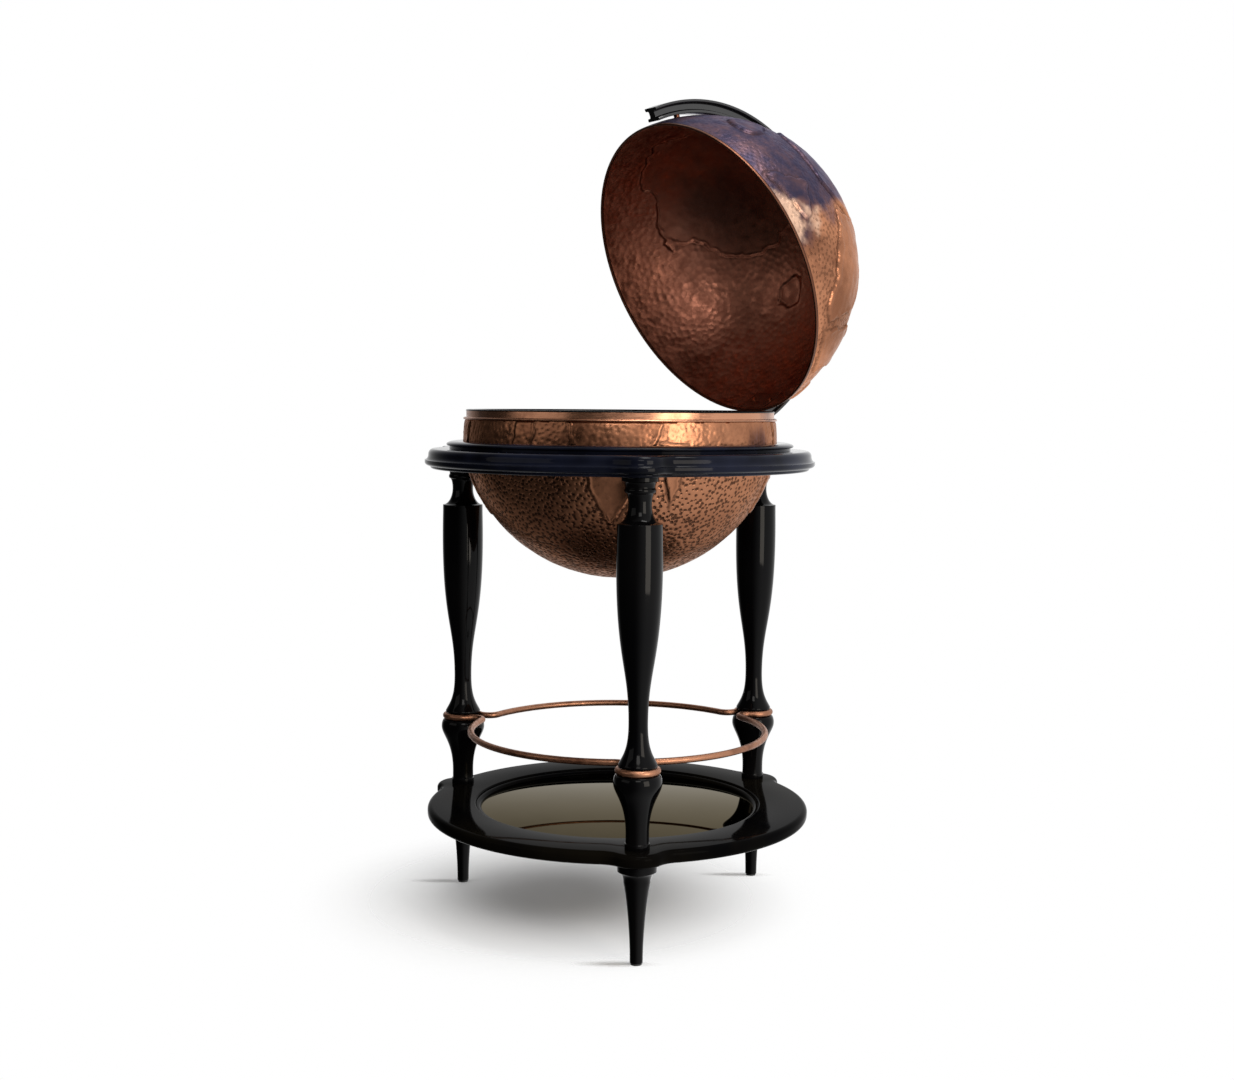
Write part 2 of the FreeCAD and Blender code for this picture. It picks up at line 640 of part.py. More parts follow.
def make_rim_collar():
    """Collar with the bead that the lid sits on and a spigot inside the band."""
    collar = Outline(SPIGOT_R - COLLAR_WALL, BAND_TOP - SPIGOT_DEPTH)
    collar.line(SPIGOT_R, BAND_TOP - SPIGOT_DEPTH)
    collar.line(SPIGOT_R, BAND_TOP)
    collar.line(BEAD_R - BEAD_HEIGHT / 2, BAND_TOP)
    collar.arc(BEAD_R, BAND_TOP + BEAD_HEIGHT / 2, BEAD_R - BEAD_HEIGHT / 2, SEAT)
    collar.line(COLLAR_R, SEAT)
    collar.line(COLLAR_R, COLLAR_TOP)
    collar.line(COLLAR_R - COLLAR_WALL, COLLAR_TOP)
    collar.line(COLLAR_R - COLLAR_WALL, SEAT)
    collar.line(SPIGOT_R - COLLAR_WALL, BAND_TOP)
    return collar.spin()


def make_tray_wall():
    lip_r = COLLAR_R + TRAY_LIP_OVERHANG
    lip_top = COLLAR_TOP + TRAY_LIP_HEIGHT
    wall = Outline(TRAY_R - TRAY_WALL, TRAY_FLOOR_TOP)
    wall.line(TRAY_R, TRAY_FLOOR_TOP)
    wall.line(TRAY_R, COLLAR_TOP)
    wall.line(lip_r, COLLAR_TOP)
    wall.quarter_level(lip_r - TRAY_LIP_HEIGHT, lip_top)
    wall.line(TRAY_R - TRAY_WALL + TRAY_LIP_HEIGHT, lip_top)
    wall.quarter_upright(TRAY_R - TRAY_WALL, COLLAR_TOP)
    return wall.spin()


def make_tray_floor():
    return post(TRAY_R, TRAY_FLOOR_TOP - TRAY_FLOOR, TRAY_FLOOR_TOP)


def opened(shape):
    """Turn a piece of the closed lid about the hinge to its open rest position."""
    turned = shape.copy()
    turned.rotate(PIVOT, X_AXIS, -LID_OPEN_ANGLE)
    return turned


def on_lid(shape, angle, rear, x=0.0):
    """Carry a piece from the lid's crown to a place over the front or rear of its mouth."""
    placed = shape.copy()
    placed.rotate(LID_CENTRE, Y_AXIS, math.degrees(math.asin(x / GLOBE_R)))
    tilt = RIGHT_ANGLE - angle
    placed.rotate(LID_CENTRE, X_AXIS, -tilt if rear else tilt)
    return placed


def crown_post(radius, r_low, r_high):
    """A post that stands out from the lid's centre, from one radius to another."""
    return post(radius, MOUTH + r_low, MOUTH + r_high)


def rear_sector(r_low, r_high, x_half, angle_low, angle_high):
    """A block between two radii and two angles over the rear of the lid's mouth."""
    face = Part.Face(Part.Wire(Part.makePolygon([
        V(-x_half, 0, MOUTH + r_low), V(x_half, 0, MOUTH + r_low),
        V(x_half, 0, MOUTH + r_high), V(-x_half, 0, MOUTH + r_high),
        V(-x_half, 0, MOUTH + r_low)])))
    face.rotate(LID_CENTRE, X_AXIS, angle_low - RIGHT_ANGLE)
    return face.revolve(LID_CENTRE, X_AXIS, angle_high - angle_low)


def rear_patch(r_low, r_high, x_half, angle_low, angle_high):
    """A patch of a round shell about the lid's centre, over the rear of its mouth."""
    shell = Part.makeSphere(r_high, LID_CENTRE).cut(Part.makeSphere(r_low, LID_CENTRE))
    inside = math.sqrt(r_low ** 2 - x_half ** 2) - CUT_OVERRUN
    return shell.common(rear_sector(inside, r_high + CUT_OVERRUN, x_half, angle_low, angle_high))


def screw_holes_in_lid():
    leaf = crown_post(LEAF_SCREW_R + SCREW_FIT, BACKING_INNER_R - CUT_OVERRUN, leaf_screw_end())
    leaf_holes = [on_lid(leaf, LEAF_SCREW_ANGLE, True, s * LEAF_SCREW_X) for s in (-1, 1)]
    front = crown_post(POST_SCREW_R + SCREW_FIT, LID_INNER_R - CUT_OVERRUN, post_screw_end())
    return leaf_holes + [on_lid(front, POST_ANGLE, False)]


def leaf_screw_end():
    return GLOBE_R + LEAF_GAP + LEAF_THICKNESS - LEAF_SCREW_END_GAP


def post_screw_end():
    return ARM_INNER_R + POST_SCREW_IN_ARM


def make_lid_shell():
    low = MOUTH + HOOP_HEIGHT
    slope = math.sqrt(0.5)
    shell = Outline(sphere_drop(GLOBE_R, HOOP_HEIGHT), low)
    shell.arc(slope * GLOBE_R, MOUTH + slope * GLOBE_R, 0, MOUTH + GLOBE_R)
    shell.line(0, MOUTH + LID_INNER_R)
    shell.arc(slope * LID_INNER_R, MOUTH + slope * LID_INNER_R,
              sphere_drop(LID_INNER_R, HOOP_HEIGHT), low)
    return shell.spin().cut(screw_holes_in_lid())


def make_lid_rim_hoop():
    outer = sphere_drop(GLOBE_R, HOOP_HEIGHT)
    inner = LID_INNER_R - HOOP_INSET
    hoop = Outline(inner, MOUTH)
    hoop.line(outer - HOOP_ROUND, MOUTH)
    hoop.quarter_upright(outer, MOUTH + HOOP_ROUND)
    hoop.line(outer, MOUTH + HOOP_HEIGHT)
    hoop.line(inner, MOUTH + HOOP_HEIGHT)
    return hoop.spin()


def arm_section():
    """I-section of the arm at the lid's crown, with bevelled edges."""
    half = ARM_WIDTH / 2
    web = ARM_WEB / 2
    low = MOUTH + ARM_INNER_R
    high = MOUTH + ARM_OUTER_R
    right = [(half - ARM_BEVEL, low), (half, low + ARM_BEVEL), (half, low + ARM_FLANGE),
             (web, low + ARM_FLANGE), (web, high - ARM_FLANGE), (half, high - ARM_FLANGE),
             (half, high - ARM_BEVEL), (half - ARM_BEVEL, high)]
    left = [(-x, z) for x, z in reversed(right)]
    points = [V(x, 0, z) for x, z in right + left]
    return Part.Face(Part.Wire(Part.makePolygon(points + points[:1])))


def make_meridian_arm():
    section = arm_section()
    section.rotate(LID_CENTRE, X_AXIS, ARM_REAR_ANGLE - RIGHT_ANGLE)
    sweep = 2 * RIGHT_ANGLE - ARM_REAR_ANGLE - ARM_FRONT_ANGLE
    arm = section.revolve(LID_CENTRE, X_AXIS, sweep)
    return arm.cut(screw_holes_in_lid())


def make_front_post():
    column = crown_post(POST_R, GLOBE_R + POST_FIT, ARM_INNER_R - POST_FIT)
    return on_lid(column, POST_ANGLE, False).cut(screw_holes_in_lid())


def lid_screw(shank_r, head_r, head_height, seat_r, end_r):
    head = crown_post(head_r, seat_r - head_height, seat_r)
    return fused(head, crown_post(shank_r, seat_r - head_height, end_r))


def make_post_screw():
    screw = lid_screw(POST_SCREW_R, POST_SCREW_HEAD_R, POST_SCREW_HEAD_HEIGHT,
                      LID_INNER_R - POST_FIT, post_screw_end() - SCREW_FIT)
    return on_lid(screw, POST_ANGLE, False)


def make_leaf_screws():
    screw = lid_screw(LEAF_SCREW_R, LEAF_SCREW_HEAD_R, LEAF_SCREW_HEAD_HEIGHT,
                      BACKING_INNER_R - BACKING_FIT, leaf_screw_end() - SCREW_FIT)
    return [on_lid(screw, LEAF_SCREW_ANGLE, True, s * LEAF_SCREW_X) for s in (-1, 1)]


def make_leaf_backing_plate():
    plate = rear_patch(BACKING_INNER_R, BACKING_OUTER_R, BACKING_HALF_WIDTH,
                       BACKING_LOW_ANGLE, BACKING_HIGH_ANGLE)
    return plate.cut(screw_holes_in_lid())


def make_hinge_leaf():
    """Saddle on the lid, roll along its lip, and the shoe and knuckle under the arm."""
    saddle_low = GLOBE_R + LEAF_GAP
    saddle = rear_patch(saddle_low, saddle_low + LEAF_THICKNESS, LEAF_HALF_WIDTH, 0, LEAF_TOP_ANGLE)
    roll = bar_along_x(ROLL_R, -LEAF_HALF_WIDTH, LEAF_HALF_WIDTH, ROLL_Y, MOUTH)
    shoe = rear_sector(ARM_INNER_R, ARM_OUTER_R, KNUCKLE_HALF_WIDTH, SHOE_LOW_ANGLE, ARM_REAR_ANGLE)
    knuckle = bar_along_x(KNUCKLE_R, -KNUCKLE_HALF_WIDTH, KNUCKLE_HALF_WIDTH, PIVOT.y, PIVOT.z)
    bore = bar_along_x(PIN_R + PIN_FIT, -KNUCKLE_HALF_WIDTH, KNUCKLE_HALF_WIDTH, PIVOT.y, PIVOT.z)
    return fused(roll, saddle, shoe, knuckle).cut([bore] + screw_holes_in_lid())


def dome(radius, height, edge_round, side, x, y, z):
    """A round head on an end face that looks along +X or -X."""
    cap = Part.makeCylinder(radius, height, V(side * x, y, z), X_AXIS * side)
    rims = [e for e in cap.Edges if abs(e.CenterOfMass.x - side * (x + height)) < SAME_POINT]
    return cap.makeFillet(edge_round, rims)


def make_leaf_caps():
    return [dome(LEAF_CAP_R, LEAF_CAP_HEIGHT, LEAF_CAP_ROUND, s, LEAF_HALF_WIDTH, ROLL_Y, MOUTH)
            for s in (-1, 1)]


def make_hinge_pin():
    shank = bar_along_x(PIN_R, -CHEEK_OUTER, CHEEK_OUTER, PIVOT.y, PIVOT.z)
    heads = [dome(PIN_HEAD_R, PIN_HEAD_HEIGHT, PIN_HEAD_ROUND, s, CHEEK_OUTER, PIVOT.y, PIVOT.z)
             for s in (-1, 1)]
    return fused(shank, *heads)


def hinge_cheek(side):
    x_low = side * (KNUCKLE_HALF_WIDTH + CHEEK_GAP) if side > 0 else -CHEEK_OUTER
    eye = bar_along_x(KNUCKLE_R, x_low, x_low + CHEEK_THICKNESS, PIVOT.y, PIVOT.z)
    web = Part.makeBox(CHEEK_THICKNESS, 2 * KNUCKLE_R, PIVOT.z - CAP_TOP,
                       V(x_low, PIVOT.y - KNUCKLE_R, CAP_TOP))
    return fused(eye, web)


def make_hinge_block():
    """Clevis block that stands on the cap and, behind it, on the ring."""
    slab = block(BLOCK_HALF_WIDTH, BLOCK_FRONT, BLOCK_REAR, CAP_TOP, BLOCK_TOP)
    foot = block(BLOCK_HALF_WIDTH, CAP_LIP_R + BLOCK_CAP_GAP, BLOCK_REAR, RING_TOP, BLOCK_TOP)
    body = fused(slab, foot, hinge_cheek(-1), hinge_cheek(1))
    bore = bar_along_x(PIN_R + PIN_FIT, -CHEEK_OUTER, CHEEK_OUTER, PIVOT.y, PIVOT.z)
    head_low = BLOCK_TOP - BLOCK_SCREW_HEAD_HEIGHT
    heads = [post(BLOCK_SCREW_HEAD_R + SCREW_FIT, head_low, BLOCK_TOP, p) for p in block_screw_places()]
    shanks = [post(BLOCK_SCREW_R + SCREW_FIT, RING_TOP, BLOCK_TOP, p) for p in block_screw_places()]
    return body.cut([bore] + heads + shanks)


def block_screw(place):
    head = post(BLOCK_SCREW_HEAD_R, BLOCK_TOP - BLOCK_SCREW_HEAD_HEIGHT, BLOCK_TOP, place)
    return fused(head, post(BLOCK_SCREW_R, RING_TOP - BLOCK_SCREW_IN_RING, BLOCK_TOP, place))


def make_stop_pad():
    """Pad on the block, shaped to the arm that rests on it when the lid is open."""
    rear = BLOCK_REAR - STOP_INSET
    pad = block(STOP_HALF_WIDTH, rear - STOP_DEPTH, rear, BLOCK_TOP, PIVOT.z + ARM_DEPTH)
    arm_r = ARM_OUTER_R + STOP_GAP
    arm = bar_along_x(arm_r, -ARM_WIDTH, ARM_WIDTH, LID_CENTRE.y, LID_CENTRE.z)
    return pad.cut(opened(arm))


def save(name, *shapes):
    shape = shapes[0] if len(shapes) == 1 else Part.makeCompound(list(shapes))
    shape.exportStep("parts/" + name + ".step")


def save_stand():
    places = leg_places()
    for name, place in places.items():
        save("leg_" + name, moved(make_leg(), place))
        save("foot_" + name, moved(make_foot(), place))
    spots = places.values()
    save("floor_glides", *[moved(make_glide(), p) for p in spots])
    stud_low = FOOT_HEIGHT - STUD_IN_FOOT
    save("leg_foot_studs", *[post(STUD_R, stud_low, SHELF_TOP + STUD_IN_LEG, p) for p in spots])
    top_low = RING_BOTTOM - TOP_STUD_IN_LEG
    top_high = RING_BOTTOM + TOP_STUD_IN_RING
    save("leg_top_studs", *[post(TOP_STUD_R, top_low, top_high, p) for p in spots])
    save("shelf_frame", make_shelf_frame())
    save("shelf_panel", make_shelf_panel())
    save("shelf_mirror", make_shelf_mirror())
    save("mirror_bead", make_mirror_bead())
    save("panel_screws", *[shelf_screw(p) for p in panel_screw_places()])
    save("gallery_rail", make_gallery_rail())
    save("horizon_ring", make_horizon_ring())
    save("ring_cap", make_ring_cap())


def save_bowl():
    save("bowl_flange", make_bowl_flange())
    save("flange_screws", *[flange_screw(p) for p in flange_screw_places()])
    save("bowl_shell", make_bowl_shell())
    save("rim_collar", make_rim_collar())
    save("tray_wall", make_tray_wall())
    save("tray_floor", make_tray_floor())


def save_hinge():
    save("hinge_block", make_hinge_block())
    save("hinge_block_screws", *[block_screw(p) for p in block_screw_places()])
    save("hinge_pin", make_hinge_pin())
    save("stop_pad", make_stop_pad())


def save_lid():
    save("lid_shell", opened(make_lid_shell()))
    save("lid_rim_hoop", opened(make_lid_rim_hoop()))
    save("meridian_arm", opened(make_meridian_arm()))
    save("front_post", opened(make_front_post()))
    save("post_screw", opened(make_post_screw()))
    save("hinge_leaf", opened(make_hinge_leaf()))
    save("leaf_caps", *[opened(c) for c in make_leaf_caps()])
    save("leaf_backing_plate", opened(make_leaf_backing_plate()))
    save("leaf_screws", *[opened(s) for s in make_leaf_screws()])


os.makedirs("parts", exist_ok=True)
save_stand()
save_bowl()
save_hinge()
save_lid()
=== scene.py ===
import cmath
import itertools
import json
import math
import random

import bmesh
import bpy
from bpy.props import FloatProperty, FloatVectorProperty, PointerProperty
from bpy.types import Operator, Panel, PropertyGroup
from mathutils import Matrix, Vector, kdtree, noise


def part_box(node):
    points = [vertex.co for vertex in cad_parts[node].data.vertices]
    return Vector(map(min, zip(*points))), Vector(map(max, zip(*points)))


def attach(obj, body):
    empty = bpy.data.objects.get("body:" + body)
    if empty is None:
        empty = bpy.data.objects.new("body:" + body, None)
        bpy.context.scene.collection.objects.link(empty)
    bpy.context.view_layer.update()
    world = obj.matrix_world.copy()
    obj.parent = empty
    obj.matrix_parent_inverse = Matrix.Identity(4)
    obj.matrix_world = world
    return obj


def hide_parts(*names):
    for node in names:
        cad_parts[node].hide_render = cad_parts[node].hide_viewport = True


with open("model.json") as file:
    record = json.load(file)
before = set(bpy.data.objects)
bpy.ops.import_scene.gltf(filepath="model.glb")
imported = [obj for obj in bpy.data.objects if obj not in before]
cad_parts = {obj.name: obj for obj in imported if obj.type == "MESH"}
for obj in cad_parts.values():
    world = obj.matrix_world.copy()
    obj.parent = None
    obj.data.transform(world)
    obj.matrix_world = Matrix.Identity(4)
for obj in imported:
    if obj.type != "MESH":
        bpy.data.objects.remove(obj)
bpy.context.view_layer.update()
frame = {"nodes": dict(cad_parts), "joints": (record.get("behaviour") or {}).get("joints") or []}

bl_info = {
    "name": "Floor globe bar",
    "version": (1, 0, 0),
    "blender": (4, 5, 0),
    "location": "3D View > Sidebar > Globe Bar",
    "description": "A drinks bar in a hammered copper globe on a lacquered three-legged stand",
    "category": "Object",
}

MM = 0.001
FULL_TURN = 2 * math.pi
STAND = "stand"
LID = "lid"
LEGS = ("rear", "front_left", "front_right")

# The lid's hinge, and the turn from the closed lid to the open one
HINGE = frame["joints"][0]
PIVOT = Vector(HINGE["pos_m"])
OPENING = (Matrix.Translation(PIVOT)
           @ Matrix.Rotation(-math.radians(HINGE["range_deg"][1]), 4, "X")
           @ Matrix.Translation(-PIVOT))


def low(node):
    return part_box(node)[0]


def high(node):
    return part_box(node)[1]


def middle(node):
    lowest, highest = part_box(node)
    return (lowest + highest) / 2


# Levels and radii read from the frame, in millimetres
FLOOR_GAP = low("foot_rear").z / MM
SHELF_BOTTOM = low("shelf_frame").z / MM
SHELF_TOP = high("shelf_frame").z / MM
SHELF_R = high("shelf_frame").x / MM
RING_BOTTOM = low("horizon_ring").z / MM
RING_TOP = high("horizon_ring").z / MM
RING_R = high("horizon_ring").x / MM
CAP_TOP = high("ring_cap").z / MM
CAP_R = high("ring_cap").x / MM
LEG_CIRCLE_R = middle("leg_rear").y / MM
BOWL_BOTTOM = low("bowl_shell").z / MM
BAND_TOP = high("bowl_shell").z / MM
BAND_R = high("bowl_shell").x / MM
COLLAR_TOP = high("rim_collar").z / MM
TRAY_TOP = high("tray_wall").z / MM
TRAY_FLOOR_TOP = high("tray_floor").z / MM
MIRROR_R = high("shelf_mirror").x / MM
MIRROR_TOP = high("shelf_mirror").z / MM
RAIL_Z = middle("gallery_rail").z / MM
LID_R = high("lid_shell").x / MM

# The globe's sheet in millimetres, and how finely its two halves are made
COPPER_WALL = 2.5
SPHERE_CUTS = 8
GLOBE_STEPS = 640

# Edges that turn by more than this stay crisp, on plain and on hammered pieces
CRISP = math.radians(32)
CRISP_HAMMERED = math.radians(80)


class LacquerSettings(PropertyGroup):
    """Colours, gloss and edges of the black lacquer, with blue and brown casts painted in as
    reflections.
    """

    deep: FloatVectorProperty(
        name="Deep black", description="Colour of the lacquer where it is thickest",
        subtype="COLOR", default=(0.0014, 0.0014, 0.0018))
    thin: FloatVectorProperty(
        name="Thin black", description="Colour of the lacquer where it is thinnest",
        subtype="COLOR", default=(0.0030, 0.0027, 0.0028))
    # Painted reflection: blue for the horizon ring's lacquer, standing in for a blue sky
    blue: FloatVectorProperty(
        name="Blue black", description="Blue painted into the horizon ring's lacquer as a sky reflection",
        subtype="COLOR", default=(0.0100, 0.0125, 0.0270))
    # Painted reflection: brown for the shelf's lacquer, standing in for a warm reflection
    brown: FloatVectorProperty(
        name="Brown black", description="Brown painted into the shelf's lacquer as a warm reflection",
        subtype="COLOR", default=(0.0055, 0.0045, 0.0030))
    gloss: FloatProperty(
        name="Roughness", description="Roughness of the polished lacquer",
        subtype="FACTOR", min=0.0, max=1.0, default=0.055)
    edge: FloatProperty(
        name="Edge rounding", description="Rounding of the turned and moulded edges",
        unit="LENGTH", default=0.0007)


class CopperSettings(PropertyGroup):
    """Relief and colours of the hammered copper globe."""

    pit_spacing: FloatProperty(
        name="Pit spacing", description="Distance between the punched pits outside the globe",
        unit="LENGTH", default=0.0072)
    pit_size: FloatProperty(
        name="Pit radius", description="Mean radius of a punched pit",
        unit="LENGTH", default=0.0026)
    pit_depth: FloatProperty(
        name="Pit depth", description="Depth of a punched pit of the bowl",
        unit="LENGTH", default=0.0007)
    blow_spacing: FloatProperty(
        name="Blow spacing", description="Distance between the planishing blows inside the lid",
        unit="LENGTH", default=0.0098)
    blow_depth: FloatProperty(
        name="Blow depth", description="Depth of a blow on the lid",
        unit="LENGTH", default=0.00045)
    land_height: FloatProperty(
        name="Land height", description="Height of the lands of the bowl and the lining",
        unit="LENGTH", default=0.0010)
    lid_land_height: FloatProperty(
        name="Lid land height", description="Height of the lands outside the lid",
        unit="LENGTH", default=0.0022)
    coast_height: FloatProperty(
        name="Coast height", description="Height of a coast's ridge on the bowl and the lining",
        unit="LENGTH", default=0.0013)
    lid_coast_height: FloatProperty(
        name="Lid coast height", description="Height of a coast's ridge outside the lid",
        unit="LENGTH", default=0.0022)
    dent_height: FloatProperty(
        name="Dents", description="Height of the dents that raising leaves",
        unit="LENGTH", default=0.0007)
    sea: FloatVectorProperty(
        name="Sea", description="Copper of the seas between the pits",
        subtype="COLOR", default=(0.430, 0.190, 0.102))
    land: FloatVectorProperty(
        name="Land", description="Burnished copper of the lands",
        subtype="COLOR", default=(0.370, 0.160, 0.085))
    patina: FloatVectorProperty(
        name="Patina", description="Brown patina in broad clouds",
        subtype="COLOR", default=(0.150, 0.058, 0.033))
    pit: FloatVectorProperty(
        name="Pit", description="Dark oxide in the pits and along the coasts",
        subtype="COLOR", default=(0.030, 0.014, 0.010))
    # Violet heat tint, with a painted reflection of a blue sky mixed into it
    oxide: FloatVectorProperty(
        name="Violet oxide and sky reflection", description="Heat tint with a painted blue sky reflection over the front of the lid",
        subtype="COLOR", default=(0.041, 0.035, 0.062))
    lining: FloatVectorProperty(
        name="Lining", description="Dark red copper inside the lid",
        subtype="COLOR", default=(0.420, 0.165, 0.105))
    # Painted highlight: the pale copper of the highlights painted on the lid
    painted_highlight: FloatVectorProperty(
        name="Painted highlight copper", description="Pale copper of the highlights painted on the lid",
        subtype="COLOR", default=(0.840, 0.550, 0.390))
    stain: FloatVectorProperty(
        name="Stain", description="Soot-brown stain inside the lid",
        subtype="COLOR", default=(0.150, 0.078, 0.058))
    bright: FloatVectorProperty(
        name="Polished copper", description="Copper of the collar and the pins",
        subtype="COLOR", default=(0.560, 0.270, 0.160))
    hem: FloatVectorProperty(
        name="Hem", description="Darker copper of the lid's hem",
        subtype="COLOR", default=(0.130, 0.055, 0.034))


class StageSettings(PropertyGroup):
    """Camera and backdrop of the photograph's view."""

    azimuth: FloatProperty(
        name="Azimuth", description="Camera's turn about the globe's axis from the front",
        subtype="ANGLE", default=math.radians(54.15))
    distance: FloatProperty(
        name="Distance", description="Camera's distance from the globe's axis",
        unit="LENGTH", default=2.5034)
    height: FloatProperty(
        name="Height", description="Camera's height over the floor",
        unit="LENGTH", default=0.7925)
    pitch: FloatProperty(
        name="Pitch", description="How far the camera looks down",
        subtype="ANGLE", default=0.0855)
    yaw: FloatProperty(
        name="Yaw", description="How far the camera looks past the axis",
        subtype="ANGLE", default=-0.0014)
    roll: FloatProperty(
        name="Roll", description="Camera's turn about its own axis",
        subtype="ANGLE", default=0.0074)
    lens: FloatProperty(
        name="Lens", description="Focal length on a 36 mm wide frame, in millimetres",
        default=47.17)
    backdrop: FloatVectorProperty(
        name="Backdrop", description="Colour of the backdrop",
        subtype="COLOR", default=(1.0, 1.0, 1.0))


def lacquer_settings():
    return bpy.context.scene.globe_bar_lacquer


def copper_settings():
    return bpy.context.scene.globe_bar_copper


class Profile:
    """A run of points in the radius and height plane, in millimetres."""

    # Handles of a cubic curve that follows a quarter circle
    ROUND = 0.5523

    def __init__(self, r, z):
        self.points = [(r, z)]

    def lines(self, *points):
        self.points.extend(points)

    def curve(self, r1, z1, r2, z2, r, z, steps=16):
        r0, z0 = self.points[-1]
        for i in range(1, steps + 1):
            t = i / steps
            s = 1 - t
            weights = (s ** 3, 3 * s * s * t, 3 * s * t * t, t ** 3)
            self.points.append((sum(w * v for w, v in zip(weights, (r0, r1, r2, r))),
                                sum(w * v for w, v in zip(weights, (z0, z1, z2, z)))))

    def swell(self, r, z, lead, trail, lean=0.0, steps=24):
        """Run to a new radius, upright at both ends or leaning where it leaves."""
        r0, z0 = self.points[-1]
        rise = z - z0
        self.curve(r0 + lean * (r - r0), z0 + lead * rise, r, z - trail * rise, r, z, steps)

    def quarter_level(self, r, z, steps=10):
        """A quarter round that leaves upright and arrives level."""
        r0, z0 = self.points[-1]
        self.curve(r0, z0 + self.ROUND * (z - z0), r - self.ROUND * (r - r0), z, r, z, steps)

    def quarter_upright(self, r, z, steps=10):
        """A quarter round that leaves level and arrives upright."""
        r0, z0 = self.points[-1]
        self.curve(r0 + self.ROUND * (r - r0), z0, r, z - self.ROUND * (z - z0), r, z, steps)

    def half_round(self, r, z, proud, steps=10):
        """A bead that stands proud between the last point and a new one."""
        r0, z0 = self.points[-1]
        for i in range(1, steps + 1):
            t = i / steps
            swell = proud * math.sin(math.pi * t) ** 0.7
            self.points.append((r0 + (r - r0) * t + swell, z0 + (z - z0) * t))


def eased(points, radius, closed=False, turn=math.radians(28), steps=3):
    """Round the sharp corners of a run of points."""
    out = []
    count = len(points)
    for i, here in enumerate(points):
        if not closed and i in (0, count - 1):
            out.append(here)
            continue
        p, a, b = Vector(here), Vector(points[i - 1]), Vector(points[(i + 1) % count])
        before, after = p - a, b - p
        if before.length < 1e-6 or after.length < 1e-6 or before.angle(after) < turn:
            out.append(here)
            continue
        reach = min(radius, 0.45 * before.length, 0.45 * after.length)
        start = p - before.normalized() * reach
        end = p + after.normalized() * reach
        for k in range(steps + 1):
            t = k / steps
            q = start * (1 - t) ** 2 + p * 2 * t * (1 - t) + end * t ** 2
            out.append((q.x, q.y))
    return out


def lathe(points, steps, closed=False):
    """Turn a profile about the Z axis."""
    bm = bmesh.new()
    verts = [bm.verts.new((r * MM, 0.0, z * MM)) for r, z in points]
    pairs = list(zip(verts, verts[1:]))
    if closed:
        pairs.append((verts[-1], verts[0]))
    edges = [bm.edges.new(pair) for pair in pairs]
    bmesh.ops.spin(bm, geom=verts + edges, cent=(0, 0, 0), axis=(0, 0, 1), dvec=(0, 0, 0),
                   angle=FULL_TURN, steps=steps, use_merge=True, use_duplicate=False)
    bmesh.ops.remove_doubles(bm, verts=bm.verts, dist=1e-6)
    bmesh.ops.recalc_face_normals(bm, faces=bm.faces)
    return bm


def joined_by_edges(bm, other):
    """Take another open bmesh into one and close the gap between their open edges."""
    mesh = bpy.data.meshes.new("joined")
    other.to_mesh(mesh)
    other.free()
    bm.from_mesh(mesh)
    bpy.data.meshes.remove(mesh)
    bmesh.ops.bridge_loops(bm, edges=[e for e in bm.edges if e.is_boundary])


def skinned(loops):
    """Extrude a loop through a row of loops at heights in millimetres, and back to the first."""
    bm = bmesh.new()

    def place(p, z):
        return Vector((p.real, p.imag, z)) * MM

    points, z = loops[0]
    ring = [bm.verts.new(place(p, z)) for p in points]
    edges = [bm.edges.new(pair) for pair in zip(ring, ring[1:] + ring[:1])]
    first_edges = list(edges)
    for points, z in loops[1:]:
        made = bmesh.ops.extrude_edge_only(bm, edges=edges)["geom"]
        new = {g for g in made if isinstance(g, bmesh.types.BMVert)}
        edges = [g for g in made if isinstance(g, bmesh.types.BMEdge)
                 and g.verts[0] in new and g.verts[1] in new]
        ring = [next(e.other_vert(v) for e in v.link_edges if e.other_vert(v) in new) for v in ring]
        for v, p in zip(ring, points):
            v.co = place(p, z)
    bmesh.ops.bridge_loops(bm, edges=first_edges + edges)
    bmesh.ops.recalc_face_normals(bm, faces=bm.faces)
    return bm


def lobed_loop(radius, lobe_r, fillet_r, inset, counts=(14, 12, 30)):
    """Points of a circle with a lobe about each leg, drawn in evenly by an inset."""
    away = radius + fillet_r
    reach = (away ** 2 - (lobe_r + fillet_r) ** 2 + LEG_CIRCLE_R ** 2) / (2 * LEG_CIRCLE_R)
    turn = math.acos(reach / away)
    hollow = cmath.rect(away, turn)
    spread = cmath.phase(hollow - LEG_CIRCLE_R)
    on_lobe, on_hollow, on_circle = counts
    half = [LEG_CIRCLE_R + cmath.rect(lobe_r - inset, spread * i / on_lobe) for i in range(on_lobe)]
    for i in range(on_hollow):
        angle = spread + (turn - spread) * i / on_hollow + math.pi
        half.append(hollow + cmath.rect(fillet_r + inset, angle))
    end = FULL_TURN / len(LEGS) / 2
    for i in range(on_circle + 1):
        half.append(cmath.rect(radius - inset, turn + (end - turn) * i / on_circle))
    whole = [p.conjugate() for p in reversed(half[1:])] + half[:-1]
    starts = [math.pi / 2 + FULL_TURN * k / len(LEGS) for k in range(len(LEGS))]
    return [p * cmath.rect(1, start) for start in starts for p in whole]


def round_loop(points, radius):
    """A circle with its points on the same bearings as a loop's."""
    return [p / abs(p) * radius for p in points]


def turned(profile, steps, edge, closed=False):
    """Turn a profile whose corners are eased first."""
    return lathe(eased(profile.points, edge, closed), steps, closed)


